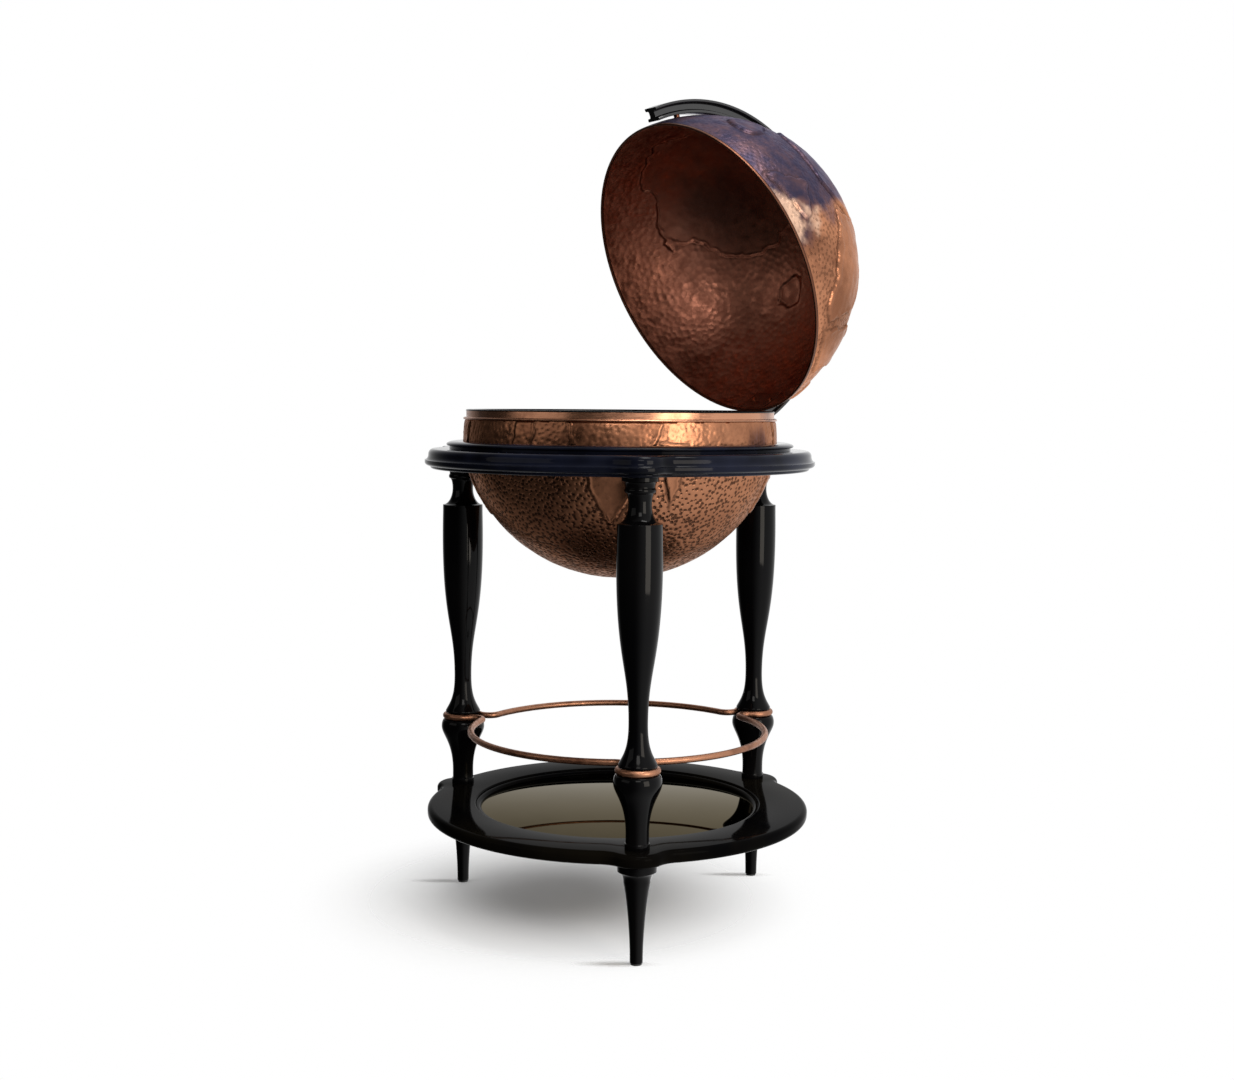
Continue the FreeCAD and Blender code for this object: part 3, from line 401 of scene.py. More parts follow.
def finished_piece(bm, name, material, slot, *nodes, body=STAND, crisp=CRISP):
    """Make a finished object of a bmesh, in the place of its CAD nodes."""
    mesh = bpy.data.meshes.new(name)
    bm.to_mesh(mesh)
    bm.free()
    mesh.polygons.foreach_set("use_smooth", [True] * len(mesh.polygons))
    mesh.set_sharp_from_angle(angle=crisp)
    mesh.materials.append(material)
    obj = bpy.data.objects.new(name, mesh)
    bpy.context.scene.collection.objects.link(obj)
    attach(obj, body)
    if nodes:
        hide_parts(*nodes)


def lid_piece(bm, name, material, slot, *nodes, crisp=CRISP):
    """Carry a piece that is modelled on the closed lid to its open place, and finish it."""
    bm.transform(OPENING)
    centre_note = bm.verts.layers.float_vector.get("pit_centre")
    if centre_note:
        for v in bm.verts:
            v[centre_note] = OPENING @ v[centre_note]
    finished_piece(bm, name, material, slot, *nodes, body=LID, crisp=crisp)


class Nodes:
    """Nodes of a material or a world in the making."""

    def __init__(self, owner):
        owner.use_nodes = True
        self.nodes = owner.node_tree.nodes
        self.links = owner.node_tree.links

    def node(self, kind, inputs, **settings):
        made = self.nodes.new(kind)
        for key, value in settings.items():
            setattr(made, key, value)
        for key, value in inputs.items():
            self.put(made.inputs[key], value)
        return made

    def put(self, socket, value):
        if isinstance(value, bpy.types.NodeSocket):
            self.links.new(value, socket)
        elif hasattr(socket.default_value, "__len__") and len(socket.default_value) == 4:
            socket.default_value = (*value[:3], 1.0)
        else:
            socket.default_value = value

    def span(self, value, low_in, high_in, low_out=0.0, high_out=1.0):
        made = self.node("ShaderNodeMapRange", {
            "Value": value, "From Min": low_in, "From Max": high_in,
            "To Min": low_out, "To Max": high_out}, interpolation_type="SMOOTHSTEP")
        return made.outputs["Result"]

    def figure(self, operation, first, second):
        made = self.node("ShaderNodeMath", {0: first, 1: second}, operation=operation)
        return made.outputs[0]

    def plus(self, first, second):
        return self.figure("ADD", first, second)

    def times(self, first, second):
        return self.figure("MULTIPLY", first, second)

    def measure(self, operation, *vectors):
        """A number taken from one vector or two, such as a distance."""
        made = self.node("ShaderNodeVectorMath", dict(enumerate(vectors)), operation=operation)
        return made.outputs["Value"]


class Finish(Nodes):
    """A node material in the making."""

    def __init__(self, name):
        self.material = bpy.data.materials.new(name)
        super().__init__(self.material)
        self.shader = self.nodes["Principled BSDF"]
        self.object = self.nodes.new("ShaderNodeTexCoord").outputs["Object"]

    def set(self, **values):
        for key, value in values.items():
            self.put(self.shader.inputs[key.replace("_", " ")], value)

    def noise(self, scale, detail=3.0, roughness=0.5, vector=None, distortion=0.0):
        return self.node("ShaderNodeTexNoise", {
            "Vector": vector or self.object, "Scale": scale, "Detail": detail,
            "Roughness": roughness, "Distortion": distortion}).outputs["Fac"]

    def attribute(self, name, output="Fac"):
        return self.node("ShaderNodeAttribute", {}, attribute_name=name).outputs[output]

    def mix(self, share, first, second):
        """A blend of two colours, whose sockets a mix node keeps under these numbers."""
        made = self.node("ShaderNodeMix", {}, data_type="RGBA")
        self.put(made.inputs[0], share)
        self.put(made.inputs[6], first)
        self.put(made.inputs[7], second)
        return made.outputs[2]

    def bump(self, height, strength, distance):
        self.set(Normal=self.node("ShaderNodeBump", {
            "Height": height, "Strength": strength, "Distance": distance}).outputs["Normal"])

    def stretched(self, scale):
        made = self.node("ShaderNodeMapping", {"Vector": self.object, "Scale": scale})
        return made.outputs["Vector"]


def scaled(colour, share):
    return [share * v for v in colour]


def lacquer(name, roughness, shine=0.08, cast=None):
    """Black lacquer with a faint unevenness under its polish; a cast, where one is given, is
    painted in as a reflection.
    """
    s = lacquer_settings()
    f = Finish(name)
    broad = f.noise(4.0, 4.0, 0.6)
    f.set(Base_Color=f.mix(f.span(broad, 0.35, 0.7), s.deep, cast or s.thin))
    haze = f.noise(36.0, 5.0, 0.65)
    f.set(Roughness=f.span(haze, 0.3, 0.75, roughness * 0.75, roughness * 1.6))
    f.set(Specular_IOR_Level=shine, IOR=1.5)
    f.bump(f.noise(260.0, 2.0), 0.025, 0.0004)
    return f.material


# Tints of reflections at a grazing angle: plain copper, copper under oxide, and the mirror
GRAZING_COPPER = (0.83, 0.68, 0.60)
GRAZING_OXIDE = (0.76, 0.74, 0.90)
GRAZING_MIRROR = (0.66, 0.62, 0.54)


def hammered_copper(name, sea, land, patina, pit, tint, roughness,
                    pitted=False, painted_shade=None, painted_highlight=None):
    """Copper with burnished lands, broad patina, painted shade towards the bottom where heights are
    given, a tint where one is noted, painted highlights where noted, and dark pits.
    """
    f = Finish(name)
    clouds = f.noise(7.0, 5.0, 0.62, distortion=0.4)
    streaks = f.noise(38.0, 4.0, 0.6)
    grain = f.noise(170.0, 3.0, 0.55)
    body = f.mix(f.attribute("land"), sea, land)
    body = f.mix(f.times(f.span(clouds, 0.46, 0.74), 0.75), body, patina)
    body = f.mix(f.times(f.span(streaks, 0.5, 0.75), 0.35), body, patina)
    # Painted shade: the patina colour is mixed in more and more below the given heights
    if painted_shade:
        height = f.node("ShaderNodeSeparateXYZ", {"Vector": f.object}).outputs["Z"]
        body = f.mix(f.span(height, *painted_shade, 0.0, 0.7), body, patina)
    cloudy = f.span(streaks, 0.25, 0.65, 0.86, 1.0)
    body = f.mix(f.times(f.attribute("tint"), cloudy), body, tint)
    # Painted highlight: pale copper mixed in over the noted patches of the lid
    if painted_highlight:
        streaky = f.span(streaks, 0.3, 0.6, 0.6, 1.0)
        body = f.mix(f.times(f.attribute("painted_highlight"), streaky), body, painted_highlight)
    relief = f.times(grain, 0.3)
    if pitted:
        away = f.measure("DISTANCE", f.object, f.attribute("pit_centre", "Vector"))
        ratio = f.figure("DIVIDE", away, f.attribute("pit_size"))
        uneven = f.plus(ratio, f.span(streaks, 0.2, 0.8, -0.15, 0.15))
        inside = f.times(f.span(uneven, 1.15, 0.60), f.span(f.attribute("pit_gap"), 1.35, 1.08))
        hollow = f.times(inside, f.attribute("pit"))
        body = f.mix(f.times(hollow, 0.84), body, pit)
        relief = f.plus(relief, f.times(hollow, -1.0))
    body = f.mix(f.attribute("coast"), body, pit)
    f.set(Base_Color=body, Metallic=1.0)
    f.set(Specular_Tint=f.mix(f.attribute("tint"), GRAZING_COPPER, GRAZING_OXIDE))
    rough = f.span(f.noise(55.0, 4.0, 0.6), 0.3, 0.7, roughness * 0.8, roughness * 1.35)
    f.set(Roughness=f.plus(rough, f.times(f.attribute("tint"), 0.14)))
    f.bump(relief, 0.5, 0.0009)
    return f.material


def smooth_copper(name, colour, dark, roughness, grain):
    """Polished or brushed copper with a little tarnish."""
    f = Finish(name)
    tarnish = f.noise(16.0, 5.0, 0.65)
    f.set(Base_Color=f.mix(f.span(tarnish, 0.42, 0.75), colour, dark), Metallic=1.0)
    brushed = f.noise(1.0, 3.0, 0.6, vector=f.stretched(grain))
    f.set(Roughness=f.span(brushed, 0.3, 0.7, roughness * 0.8, roughness * 1.4))
    f.bump(brushed, 0.05, 0.0003)
    return f.material


def smoked_mirror():
    """Bronze mirror with a faint cloudiness."""
    f = Finish("smoked_mirror")
    haze = f.noise(9.0, 4.0, 0.6)
    clear, clouded = (0.052, 0.045, 0.036), (0.043, 0.037, 0.030)
    f.set(Base_Color=f.mix(f.span(haze, 0.35, 0.7), clear, clouded), Metallic=1.0)
    f.set(Roughness=f.span(haze, 0.3, 0.75, 0.015, 0.035), Specular_Tint=GRAZING_MIRROR)
    return f.material


def plain_finish(name, colour, dark, metallic, roughness):
    """Steel or plastic of the fixings, a little uneven."""
    f = Finish(name)
    wear = f.noise(120.0, 4.0, 0.6)
    f.set(Base_Color=f.mix(f.span(wear, 0.35, 0.75), colour, dark), Metallic=metallic)
    f.set(Roughness=f.span(wear, 0.3, 0.7, roughness * 0.8, roughness * 1.3))
    return f.material


def finish_node(node, material):
    """Give a CAD node that stays in view its own finish."""
    obj = frame["nodes"][node]
    obj.data.materials.clear()
    obj.data.materials.append(material)


def leg_profile():
    """A leg from the shelf up: base, vase, seat of the rail, waist, drum, neck and head."""
    length = RING_BOTTOM - SHELF_TOP
    p = Profile(0, 0)
    p.lines((18.0, 0), (18.0, 8.0), (16.6, 8.0), (16.6, 21.0))
    p.swell(34.8, 94.0, 0.63, 0.20, steps=36)
    p.quarter_level(29.5, 106.5)
    p.lines((22.5, 106.5), (22.5, 117.7), (28.0, 117.7), (28.0, 120.2))
    p.swell(13.7, 178.0, 0.23, 0.61, lean=0.52, steps=30)
    p.swell(32.6, length - 116.0, 0.35, 0.61, steps=48)
    p.swell(32.0, length - 64.5, 0.50, 0.30, steps=8)
    p.quarter_upright(16.5, length - 38.0, steps=18)
    p.quarter_level(21.0, length - 22.0)
    p.half_round(21.0, length - 15.0, 1.5)
    p.quarter_level(26.0, length - 6.0)
    p.lines((26.0, length), (0, length))
    return p


def foot_profile():
    """A foot from its glide up: a slim taper under a cove."""
    toe_r, neck_r, top_r = 9.3, 19.4, 28.2
    cove = SHELF_BOTTOM - 28.0
    rise = cove - FLOOR_GAP
    p = Profile(0, FLOOR_GAP)
    p.lines((toe_r, FLOOR_GAP))
    p.curve(toe_r, FLOOR_GAP + 0.34 * rise, 13.04, cove - 0.29 * rise, neck_r, cove, steps=30)
    p.quarter_level(top_r, cove + 16.0)
    p.lines((top_r, SHELF_BOTTOM), (0, SHELF_BOTTOM))
    return p


LEG_STEPS = 72
FOOT_STEPS = 56


class GLOBEBAR_OT_legs(Operator):
    """Turn the three legs and the three feet"""

    bl_idname = "globe_bar.legs"
    bl_label = "Legs and Feet"

    def execute(self, context):
        black = lacquer("leg_lacquer", lacquer_settings().gloss, shine=0.11)
        edge = lacquer_settings().edge / MM
        for leg in LEGS:
            place = middle("leg_" + leg)
            for part, profile, steps, level in (("leg_", leg_profile(), LEG_STEPS, SHELF_TOP),
                                                ("foot_", foot_profile(), FOOT_STEPS, 0)):
                bm = turned(profile, steps, edge)
                bmesh.ops.translate(bm, verts=bm.verts, vec=(place.x, place.y, level * MM))
                finished_piece(bm, "turned_" + part + leg, black, "black_lacquer", part + leg)
        return {"FINISHED"}


# Lobes of the shelf and the ring about each leg, in millimetres
LOBE_R = 42.0
LOBE_FILLET_R = 40.0


def lobed_edge(radius, points):
    """Loops of a lobed edge, from the insets and heights of its moulding."""
    return [(lobed_loop(radius, LOBE_R, LOBE_FILLET_R, inset), z) for inset, z in points]


class GLOBEBAR_OT_shelf(Operator):
    """Make the lobed shelf with its smoked mirror and bead"""

    bl_idname = "globe_bar.shelf"
    bl_label = "Shelf"

    def execute(self, context):
        s = lacquer_settings()
        # Painted reflection: the shelf's lacquer is cast brown for a warm reflection
        black = lacquer("shelf_lacquer", s.gloss, shine=0.006, cast=s.brown)
        nose = 8.0
        edge = Profile(nose, SHELF_BOTTOM)
        edge.quarter_upright(0.0, SHELF_BOTTOM + nose)
        edge.lines((0.0, SHELF_TOP - nose))
        edge.quarter_level(nose, SHELF_TOP)
        hole, lip_round = MIRROR_R + 0.3, 2.5
        rebate_r, rebate_top = hole + 12.2, SHELF_BOTTOM + 8.0
        lip = Profile(hole + lip_round, SHELF_TOP)
        lip.quarter_upright(hole, SHELF_TOP - lip_round, steps=5)
        lip.lines((hole, rebate_top), (rebate_r, rebate_top), (rebate_r, SHELF_BOTTOM))
        outline = lobed_loop(SHELF_R, LOBE_R, LOBE_FILLET_R, 0)
        loops = lobed_edge(SHELF_R, edge.points)
        loops += [(round_loop(outline, r), z) for r, z in lip.points]
        finished_piece(skinned(loops), "lobed_shelf", black, "black_lacquer", "shelf_frame")

        mirror_bottom = MIRROR_TOP - 4.0
        glass = Profile(0, mirror_bottom)
        glass.lines((MIRROR_R, mirror_bottom), (MIRROR_R, MIRROR_TOP), (0, MIRROR_TOP))
        finished_piece(turned(glass, steps=144, edge=0.6), "mirror_disc", smoked_mirror(),
                       "smoked_mirror", "shelf_mirror")

        bead_top, bead_flat, bead_width = MIRROR_TOP + 5.0, 2.0, 8.5
        bead = Profile(MIRROR_R, MIRROR_TOP)
        bead.lines((MIRROR_R, bead_top), (MIRROR_R - bead_flat, bead_top))
        bead.quarter_upright(MIRROR_R - bead_width, MIRROR_TOP)
        finished_piece(turned(bead, steps=144, edge=0.5, closed=True), "mirror_moulding", black,
                       "black_lacquer", "mirror_bead")
        finish_node("shelf_panel", lacquer("panel_paint", roughness=0.35))
        return {"FINISHED"}


# The rail's rod and its bends round the legs, in millimetres
ROD_R = 5.0
ROD_SIDES = 14
RAIL_R = LEG_CIRCLE_R - 48.5
RAIL_LOOP_R = 27.7
RAIL_FILLET_R = 17.0


class GLOBEBAR_OT_rail(Operator):
    """Bend the copper gallery rail round the legs"""

    bl_idname = "globe_bar.rail"
    bl_label = "Gallery Rail"

    def execute(self, context):
        c = copper_settings()
        copper = smooth_copper("rail_copper", scaled(c.bright, 0.72), c.patina,
                               roughness=0.38, grain=(160.0, 160.0, 420.0))
        loops = []
        for i in range(ROD_SIDES):
            bend = FULL_TURN * i / ROD_SIDES
            loop = lobed_loop(RAIL_R, RAIL_LOOP_R, RAIL_FILLET_R, -ROD_R * math.cos(bend),
                              counts=(22, 16, 44))
            loops.append((loop, RAIL_Z + ROD_R * math.sin(bend)))
        finished_piece(skinned(loops), "looped_rail", copper, "brushed_copper", "gallery_rail")
        return {"FINISHED"}


class GLOBEBAR_OT_ring(Operator):
    """Mould the horizon ring and its cap"""

    bl_idname = "globe_bar.ring"
    bl_label = "Horizon Ring"

    def execute(self, context):
        s = lacquer_settings()
        # Painted reflection: the ring's lacquer is cast blue for a blue sky reflection
        black = lacquer("ring_lacquer", s.gloss, cast=s.blue)
        soft = s.edge / MM
        z = RING_BOTTOM
        edge = Profile(12.0, z)
        edge.quarter_upright(8.5, z + 3.0, steps=6)
        edge.lines((8.5, z + 4.2))
        edge.quarter_upright(0.0, z + 9.5)
        edge.lines((0.0, z + 13.5))
        edge.quarter_upright(5.4, z + 21.5)
        edge.quarter_level(13.0, RING_TOP)
        outline = lobed_loop(RING_R, LOBE_R, LOBE_FILLET_R, 0)
        hole = round_loop(outline, BAND_R + 1.6)
        loops = lobed_edge(RING_R, eased(edge.points, soft)) + [(hole, RING_TOP), (hole, z)]
        finished_piece(skinned(loops), "moulded_ring", black, "black_lacquer", "horizon_ring")

        flange_r, flange_top = BAND_R + 15.9, RING_TOP + 5.5
        step = CAP_R - 4.5
        cap = Profile(flange_r, RING_TOP)
        cap.lines((step, RING_TOP), (step, RING_TOP + 4.5))
        cap.quarter_upright(CAP_R, RING_TOP + 7.0)
        cap.quarter_level(CAP_R - 15.0, CAP_TOP, steps=14)
        cap.lines((BAND_R + 1.0, CAP_TOP), (BAND_R + 1.0, flange_top), (flange_r, flange_top))
        finished_piece(turned(cap, steps=192, edge=soft, closed=True), "cap_moulding", black,
                       "black_lacquer", "ring_cap")
        return {"FINISHED"}


# Lands of the lid and the bowl, in degrees: the bearing, height over the rim and size of a round
# land, or the bearings and heights of the corners of a tongue
UPPER_LANDS = ((-32, 50, 21), (-60, 20, 7), (-140, 52, 32), (70, 10, 6), (-95, 26, 9),
               (112, 57, 4.5))
UPPER_TONGUES = (
    ((-12, 28), (6, 17), (18, 7), (25, 8), (33, 26), (20, 60)),
    ((29, 5), (48, 4), (60, 30), (38, 24)),
    ((-34, 3), (-26, 19), (-15, 9)),
)
LOWER_LANDS = ((84, -40, 9), (130, -26, 16), (185, -18, 12), (-150, -42, 10), (150, -62, 9))
LOWER_TONGUES = (
    ((-56, 6), (-40, -38), (-18, 6)),
    ((-22, -8), (-16.7, -29), (-11.5, -8)),
    ((40, -34), (34, 8), (70, 8), (76, -30)),
    ((-118, -36), (-130, 6), (-104, 6)),
    ((-76, -16), (-73, 6), (-66, 6), (-68, -16)),
)
# Corners of the patches of the lid where a highlight is painted in pale copper
PAINTED_HIGHLIGHT_PATCHES = (
    ((-27, 2), (-21, 7), (-9, 4), (-8, 1)),
    ((-20, 9), (-15, 15), (-8, 10), (-12, 5)),
)


def on_globe(bearing, height):
    """The way out from the globe's centre at a bearing and a height in degrees."""
    a, h = math.radians(bearing), math.radians(height)
    return Vector((math.cos(h) * math.cos(a), math.cos(h) * math.sin(a), math.sin(h)))


def ramp(value, start, end):
    """Smooth rise from 0 to 1 between two values."""
    t = min(1.0, max(0.0, (value - start) / (end - start)))
    return t * t * (3 - 2 * t)


# Scatter of the blows: its seed, the tries for each square spacing of the globe's flat disc,
# and the least distance between two, in spacings
BLOW_SEED = 19
BLOW_TRIES = 26
BLOW_LEAST = 0.86


def struck_points(radius, spacing, above):
    """Blow centres scattered over one half of a sphere, none too close to another."""
    chance = random.Random(BLOW_SEED)
    least = BLOW_LEAST * spacing
    cells = {}
    around = list(itertools.product((-1, 0, 1), repeat=3))
    lowest, highest = (-0.1, 1.0) if above else (-1.0, 0.1)
    for _ in range(int(BLOW_TRIES * math.pi * (radius / spacing) ** 2)):
        z = chance.uniform(lowest, highest)
        turn = chance.uniform(0, FULL_TURN)
        flat = math.sqrt(1 - z * z)
        point = Vector((flat * math.cos(turn), flat * math.sin(turn), z)) * radius
        home = [math.floor(q / least) for q in point]
        near = (cells.get((home[0] + i, home[1] + j, home[2] + k)) for i, j, k in around)
        if all(other is None or (other - point).length > least for other in near):
            cells[tuple(home)] = point
    tree = kdtree.KDTree(len(cells))
    for i, point in enumerate(cells.values()):
        tree.insert(point, i)
    tree.balance()
    return tree


class Relief:
    """What the smith left on one half of the globe."""

    # Where a coast's ridge and crease lie from its shore, and the two sizes of dents, in metres
    RIDGE_INSET = 0.0014
    CREASE_OFFSET = 0.0024
    CREASE_WIDTH = 0.0014
    SMALL_DENT = 0.012
    LARGE_DENT = 0.034
    # Distance from a pit, in pit radii, that is noted where none is struck
    NO_PIT = 9.0

    def __init__(self, lands, tongues, wander, rise, coast, spacing, reach, depth):
        self.lands = [(on_globe(b, h), math.radians(size)) for b, h, size in lands]
        self.tongues = [self.edges([on_globe(*corner) for corner in tongue]) for tongue in tongues]
        self.wander = wander
        self.rise = rise
        self.coast = coast
        self.spacing = spacing
        self.reach = reach
        self.depth = depth

    @staticmethod
    def edges(corners):
        """Outward normals of the great circles that bound a land with straight coasts."""
        heart = sum(corners, Vector()).normalized()
        planes = [a.cross(b).normalized() for a, b in zip(corners, corners[1:] + corners[:1])]
        return [-plane if plane.dot(heart) > 0 else plane for plane in planes]

    def shore(self, n):
        """How far out to sea a direction lies, as an angle; negative on land."""
        drift = self.wander * noise.fractal(n * 3.6, 1.0, 2.1, 4)
        drift += 0.012 * noise.noise(n * 17.0)
        near = min(n.angle(c) - size for c, size in self.lands)
        for planes in self.tongues:
            near = min(near, max(n.dot(plane) for plane in planes))
        return near + drift

    def hammer(self, bm, centre, radius, above, calm, tint, pitted, crease_share,
               quiet=lambda n: 0.94):
        """Raise the lands and coasts, strike the blows, and note the finish on the vertices."""
        dent_height = copper_settings().dent_height
        land_note, pit_note, coast_note, tint_note, gap_note, size_note = [
            bm.verts.layers.float.new(name)
            for name in ("land", "pit", "coast", "tint", "pit_gap", "pit_size")]
        centre_note = bm.verts.layers.float_vector.new("pit_centre")
        tree = struck_points(radius, self.spacing, above)
        for v in bm.verts:
            n = (v.co - centre).normalized()
            still = calm(v.co)
            v[tint_note] = tint(n)
            v[size_note] = 1.0
            v[gap_note] = self.NO_PIT
            if still == 0.0:
                continue
            shore = self.shore(n) * radius
            land = 1 - ramp(shore, -2.8 * self.rise, 0.001)
            ridge = math.exp(-((shore + self.RIDGE_INSET) / (2 * self.coast)) ** 2)
            crease = math.exp(-((shore - self.CREASE_OFFSET) / self.CREASE_WIDTH) ** 2)
            spot, index, gap = tree.find(n * radius)
            size = self.reach * (0.95 + 0.25 * noise.cell(Vector((index * 0.37, 0.5, 0.5))))
            sea = (1 - quiet(n) * land) * (1 - crease)
            blow = max(0.0, 1 - (gap / (1.25 * size)) ** 2)
            dents = noise.noise(n * (radius / self.SMALL_DENT))
            dents += 0.7 * noise.noise(n * (radius / self.LARGE_DENT))
            height = (self.rise * land + self.coast * (ridge - 0.8 * crease)
                      - self.depth * blow * sea + dent_height * 0.5 * dents)
            v[centre_note] = centre + spot * (v.co - centre).length / radius
            v.co += n * height * still
            v[land_note] = land
            v[pit_note] = sea * still * pitted(n)
            v[gap_note] = gap / size
            v[size_note] = size
            v[coast_note] = min(1.0, crease) * still * crease_share


def part_sphere(centre, radius, cut, **cleared):
    """A fine sphere with a radius in millimetres, cut level at a point, one side cleared."""
    bm = bmesh.new()
    bmesh.ops.create_icosphere(bm, subdivisions=SPHERE_CUTS, radius=radius * MM)
    bmesh.ops.translate(bm, verts=bm.verts, vec=centre)
    bmesh.ops.bisect_plane(bm, geom=bm.verts[:] + bm.edges[:] + bm.faces[:], dist=1e-7,
                           plane_co=cut, plane_no=(0, 0, 1), **cleared)
    return bm


# Bowl and collar in millimetres: the bowl's centre, and how far the band draws in at its ends
SEAT = BAND_TOP + 4.0
BOWL_R = SEAT - BOWL_BOTTOM
BOWL_CENTRE = Vector((0, 0, SEAT * MM))
DRAW_TOP = 2.4
DRAW_FOOT = 1.4
BAND_FOOT = SEAT - math.sqrt(BOWL_R ** 2 - (BAND_R - DRAW_FOOT) ** 2)
BAND_ROWS = 28
LINING_ROWS = 10
SPIGOT_R = 235.3
SPIGOT_BOTTOM = BAND_TOP - 15.0
BEAD_R = 239.2
BEAD_PROUD = 2.0
RIM_R = 236.6


def band_radius(z):
    """The band's arc, widest between its foot and its top."""
    half_way = (BAND_FOOT + BAND_TOP) / 2
    t = (z - half_way) / (BAND_TOP - half_way)
    return BAND_R - (DRAW_TOP if t > 0 else DRAW_FOOT) * t * t


def band_and_lining():
    """Profile of the band, its inner side and the bowl's inner side."""
    inside = BOWL_R - COPPER_WALL
    sides = Profile(band_radius(BAND_FOOT), BAND_FOOT)
    for i in range(1, BAND_ROWS + 1):
        z = BAND_FOOT + (BAND_TOP - BAND_FOOT) * i / BAND_ROWS
        sides.lines((band_radius(z), z))
    sides.lines((band_radius(BAND_TOP) - COPPER_WALL, BAND_TOP),
                (band_radius(BAND_FOOT) - COPPER_WALL, BAND_FOOT))
    start = math.asin((band_radius(BAND_FOOT) - COPPER_WALL) / inside)
    for i in range(1, LINING_ROWS):
        lean = start * (1 - i / LINING_ROWS)
        sides.lines((inside * math.sin(lean), SEAT - inside * math.cos(lean)))
    sides.lines((0, SEAT - inside))
    return sides


def bowl_calm(p):
    """Where the bowl stays smooth: at its top edge and on its inner wall."""
    within_band = math.hypot(p.x, p.y) < (BAND_R - 3.0) * MM
    if within_band and (p - BOWL_CENTRE).length < (BOWL_R - 1.2) * MM:
        return 0.0
    return 1 - ramp(p.z, (BAND_TOP - 2.5) * MM, (BAND_TOP - 0.5) * MM)


def below_band(n):
    """1 on the round of the bowl and 0 on its band."""
    return ramp(-n.z, 0.24, 0.27)


def band_dark_patch(n):
    """Share of a dark patch on the band near the hinge."""
    ragged = 0.05 * noise.noise(n * 9.0)
    patch = 1 - ramp(n.angle(on_globe(22, -8)) + ragged, 0.06, 0.15)
    return 0.75 * patch * ramp(n.z, -0.27, -0.24)


class GLOBEBAR_OT_bowl(Operator):
    """Raise the hammered bowl of the globe and turn its collar"""

    bl_idname = "globe_bar.bowl"
    bl_label = "Bowl"

    def execute(self, context):
        c = copper_settings()
        # The bowl is painted darker towards its bottom, as painted shade
        copper = hammered_copper("bowl_copper", c.sea, c.land, c.patina, c.pit,
                                 tint=scaled(c.patina, 0.4), roughness=0.30, pitted=True,
                                 painted_shade=(0.69, 0.55))
        bm = part_sphere(BOWL_CENTRE, BOWL_R, (0, 0, (BAND_FOOT - 0.4) * MM), clear_outer=True)
        joined_by_edges(bm, lathe(band_and_lining().points, GLOBE_STEPS))
        relief = Relief(LOWER_LANDS, LOWER_TONGUES, wander=0.035,
                        rise=c.land_height, coast=c.coast_height,
                        spacing=c.pit_spacing, reach=c.pit_size, depth=c.pit_depth)
        relief.hammer(bm, BOWL_CENTRE, BOWL_R * MM, above=False, calm=bowl_calm, tint=band_dark_patch,
                      pitted=lambda n: 0.1 + 0.9 * below_band(n), crease_share=0.75,
                      quiet=lambda n: 0.35 + 0.59 * below_band(n))
        bmesh.ops.recalc_face_normals(bm, faces=bm.faces)
        finished_piece(bm, "hammered_bowl", copper, "hammered_copper", "bowl_shell",
                       crisp=CRISP_HAMMERED)

        bright = smooth_copper("collar_copper", c.bright, c.patina,
                               roughness=0.22, grain=(30.0, 30.0, 900.0))
        collar = Profile(SPIGOT_R - COPPER_WALL, SPIGOT_BOTTOM)
        collar.lines((SPIGOT_R, SPIGOT_BOTTOM), (SPIGOT_R, BAND_TOP), (BEAD_R, BAND_TOP))
        collar.half_round(BEAD_R, SEAT, BEAD_PROUD)
        collar.lines((RIM_R, SEAT), (RIM_R, COLLAR_TOP), (RIM_R - COPPER_WALL, COLLAR_TOP),
                     (RIM_R - COPPER_WALL, SEAT), (SPIGOT_R - COPPER_WALL, BAND_TOP))
        finished_piece(turned(collar, steps=240, edge=0.5, closed=True), "rim_with_bead", bright,
                       "polished_copper", "rim_collar")
        return {"FINISHED"}


# The tray's boards and the lip that rests on the collar, in millimetres
TRAY_BOARD = 6.0
LIP_R = 237.4
LIP_ROUND = 2.2


class GLOBEBAR_OT_tray(Operator):
    """Make the black tray inside the bowl"""

    bl_idname = "globe_bar.tray"
    bl_label = "Tray"

    def execute(self, context):
        black = lacquer("tray_lacquer", roughness=0.12)
        outer = high("tray_floor").x / MM
        inner = outer - TRAY_BOARD
        wall = Profile(inner, TRAY_FLOOR_TOP)
        wall.lines((outer, TRAY_FLOOR_TOP), (outer, COLLAR_TOP), (LIP_R, COLLAR_TOP))
        wall.quarter_level(LIP_R - LIP_ROUND, TRAY_TOP, steps=6)
        wall.lines((inner + LIP_ROUND, TRAY_TOP))
        wall.quarter_upright(inner, COLLAR_TOP, steps=6)
        finished_piece(turned(wall, steps=192, edge=0.5, closed=True), "tray_ring", black,
                       "tray_lacquer", "tray_wall")
        underside = TRAY_FLOOR_TOP - TRAY_BOARD
        base = Profile(0, underside)
        base.lines((outer, underside), (outer, TRAY_FLOOR_TOP), (0, TRAY_FLOOR_TOP))
        finished_piece(turned(base, steps=144, edge=0.5), "tray_base", black,
                       "tray_lacquer", "tray_floor")
        return {"FINISHED"}


# The closed lid in millimetres: its mouth, its hem, and the plain backs of its two sheets
MOUTH = BAND_TOP + 4.3
LID_CENTRE = Vector((0, 0, MOUTH * MM))
HOOP_HEIGHT = 4.5
LINING_R = LID_R - COPPER_WALL - 1.0
OUTER_BACK_R = LID_R - 0.40 * COPPER_WALL
LINING_BACK_R = LID_R - 0.42 * COPPER_WALL
BACK_RAISE = 0.6
BACK_ROWS = 12

